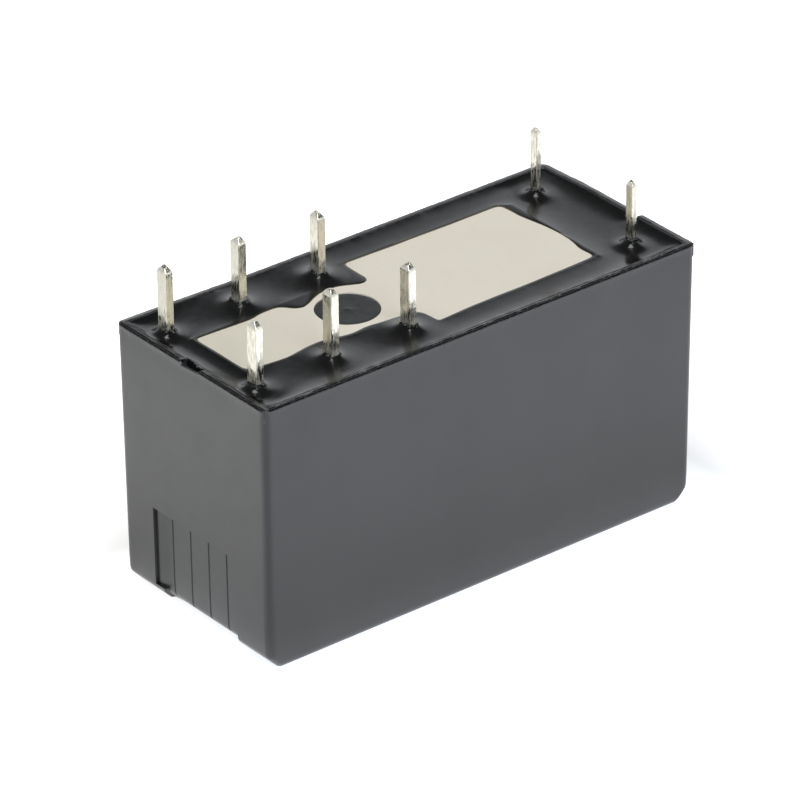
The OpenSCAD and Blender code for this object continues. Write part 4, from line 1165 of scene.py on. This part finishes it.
# %% The dark room and its pale band
world = bpy.data.worlds.new("studio")
bpy.context.scene.world = world
world.use_nodes = True
sky, link = world.node_tree.nodes, world.node_tree.links.new
direction = sky.new("ShaderNodeTexCoord").outputs["Generated"]
split = sky.new("ShaderNodeSeparateXYZ")
link(direction, split.inputs["Vector"])
ramp = sky.new("ShaderNodeValToRGB")
HEIGHT_LEVELS = [(0.0, 1.0), (0.30, 0.92), (0.40, 0.78), (0.48, 0.50), (0.56, 0.24), (0.66, 0.10), (0.88, 0.08),
                 (1.0, 0.20)]  # sine of the height over the horizon, and the brightness there
while len(ramp.color_ramp.elements) < len(HEIGHT_LEVELS):
    ramp.color_ramp.elements.new(0.5)
for element, (position, level) in zip(ramp.color_ramp.elements, HEIGHT_LEVELS):
    element.position = position
    element.color = (level * 0.98, level, level * 1.03, 1)
link(split.outputs["Z"], ramp.inputs["Fac"])
link(ramp.outputs["Color"], sky["Background"].inputs["Color"])
sideways = sky.new("ShaderNodeVectorMath")
sideways.operation = "DOT_PRODUCT"
sideways.inputs[1].default_value = (0.784, -0.621, 0)
link(direction, sideways.inputs[0])


def room_range(source, low, high, start, end):
    """Value that goes from low to high while the source goes from start to end."""
    step = sky.new("ShaderNodeMapRange")
    for socket, value in zip(("From Min", "From Max", "To Min", "To Max"), (start, end, low, high)):
        step.inputs[socket].default_value = value
    link(source, step.inputs["Value"])
    return step.outputs["Result"]


def room_maths(operation, first, second):
    """Result of one Math node in the room; the second value may be a number."""
    step = sky.new("ShaderNodeMath")
    step.operation = operation
    link(first, step.inputs[0])
    if isinstance(second, float):
        step.inputs[1].default_value = second
    else:
        link(second, step.inputs[1])
    return step.outputs["Value"]


height_band = room_maths("MULTIPLY", room_range(split.outputs["Z"], 0, 1, 0.38, 0.46),
                         room_range(split.outputs["Z"], 1, 0, 0.53, 0.60))
window = room_maths("MULTIPLY", height_band, room_range(sideways.outputs["Value"], -0.50, 0.75, -0.035, 0.045))
link(room_maths("ADD", window, 1.0), sky["Background"].inputs["Strength"])
print("room:", len(sky), "nodes")

# %% [markdown]
# ## Two soft lights
# One broad softbox above gives the pale land its brightness, and one in front gives the liquid edges of the
# resin their fine lines. Both are large for their distance, so that no hard shadow falls.

# %% Soft lights
SOFTBOX_WIDTH = 260


def soft_light(name, place, power, colour):
    """Square softbox that faces the relay; place in millimetres and power in watts."""
    light = bpy.data.lights.new(name, "AREA")
    light.shape = "SQUARE"
    light.size = SOFTBOX_WIDTH * MM
    light.energy = power
    light.color = colour
    box = bpy.data.objects.new(name, light)
    box.location = Vector(place) * MM
    box.rotation_euler = (Vector((0, 0, 10)) * MM - box.location).to_track_quat("-Z", "Y").to_euler()
    bpy.context.scene.collection.objects.link(box)


soft_light("overhead_softbox", (-120, -60, 420), 1.22, (1.0, 0.985, 0.955))
soft_light("front_softbox", (-60, -420, 300), 0.85, (0.94, 0.97, 1.0))
print("softboxes:", SOFTBOX_WIDTH, "mm wide")

# %% [markdown]
# ## The camera
# The angles, the distance and the scale come from fitting a camera to the photograph: the corners of
# the rim and of the foot and the feet of the eight pins had to fall where the photograph has them. The
# frame is 800 pixels wide, so the scale in pixels per millimetre and the distance give the lens.

# %% Camera at the photograph's angle
AZIMUTH, ELEVATION, ROLL = -38.408, 29.097, -0.537
SCALE, DISTANCE = 18.811, 368.519  # pixels per millimetre at the relay, and millimetres
MIDDLE, MIDDLE_RIGHT, MIDDLE_DOWN = Vector((0, 0, 7.85)), 9.786, 11.933  # off the frame's centre, in pixels
FRAME_WIDTH, SENSOR_WIDTH = 800, 36
turn, tilt, roll = (math.radians(a) for a in (AZIMUTH, ELEVATION, ROLL))
back = Vector((math.sin(turn) * math.cos(tilt), -math.cos(turn) * math.cos(tilt), math.sin(tilt)))
right = (-back).cross(Vector((0, 0, 1))).normalized()
up = right.cross(-back)
right, up = right * math.cos(roll) + up * math.sin(roll), up * math.cos(roll) - right * math.sin(roll)
camera_data = bpy.data.cameras.new("camera")
camera_data.lens = SCALE * DISTANCE * SENSOR_WIDTH / FRAME_WIDTH
camera_data.sensor_width = SENSOR_WIDTH
camera_data.clip_start, camera_data.clip_end = 0.01, 20
camera = bpy.data.objects.new("camera", camera_data)
spot = MIDDLE + back * DISTANCE - right * (MIDDLE_RIGHT / SCALE) + up * (MIDDLE_DOWN / SCALE)
camera.matrix_world = Matrix.Translation(spot * MM) @ Matrix((right, up, back)).transposed().to_4x4()
bpy.context.scene.collection.objects.link(camera)
bpy.context.scene.camera = camera
bpy.context.scene.view_settings.view_transform = "Standard"
print("camera at", [round(c, 1) for c in spot])
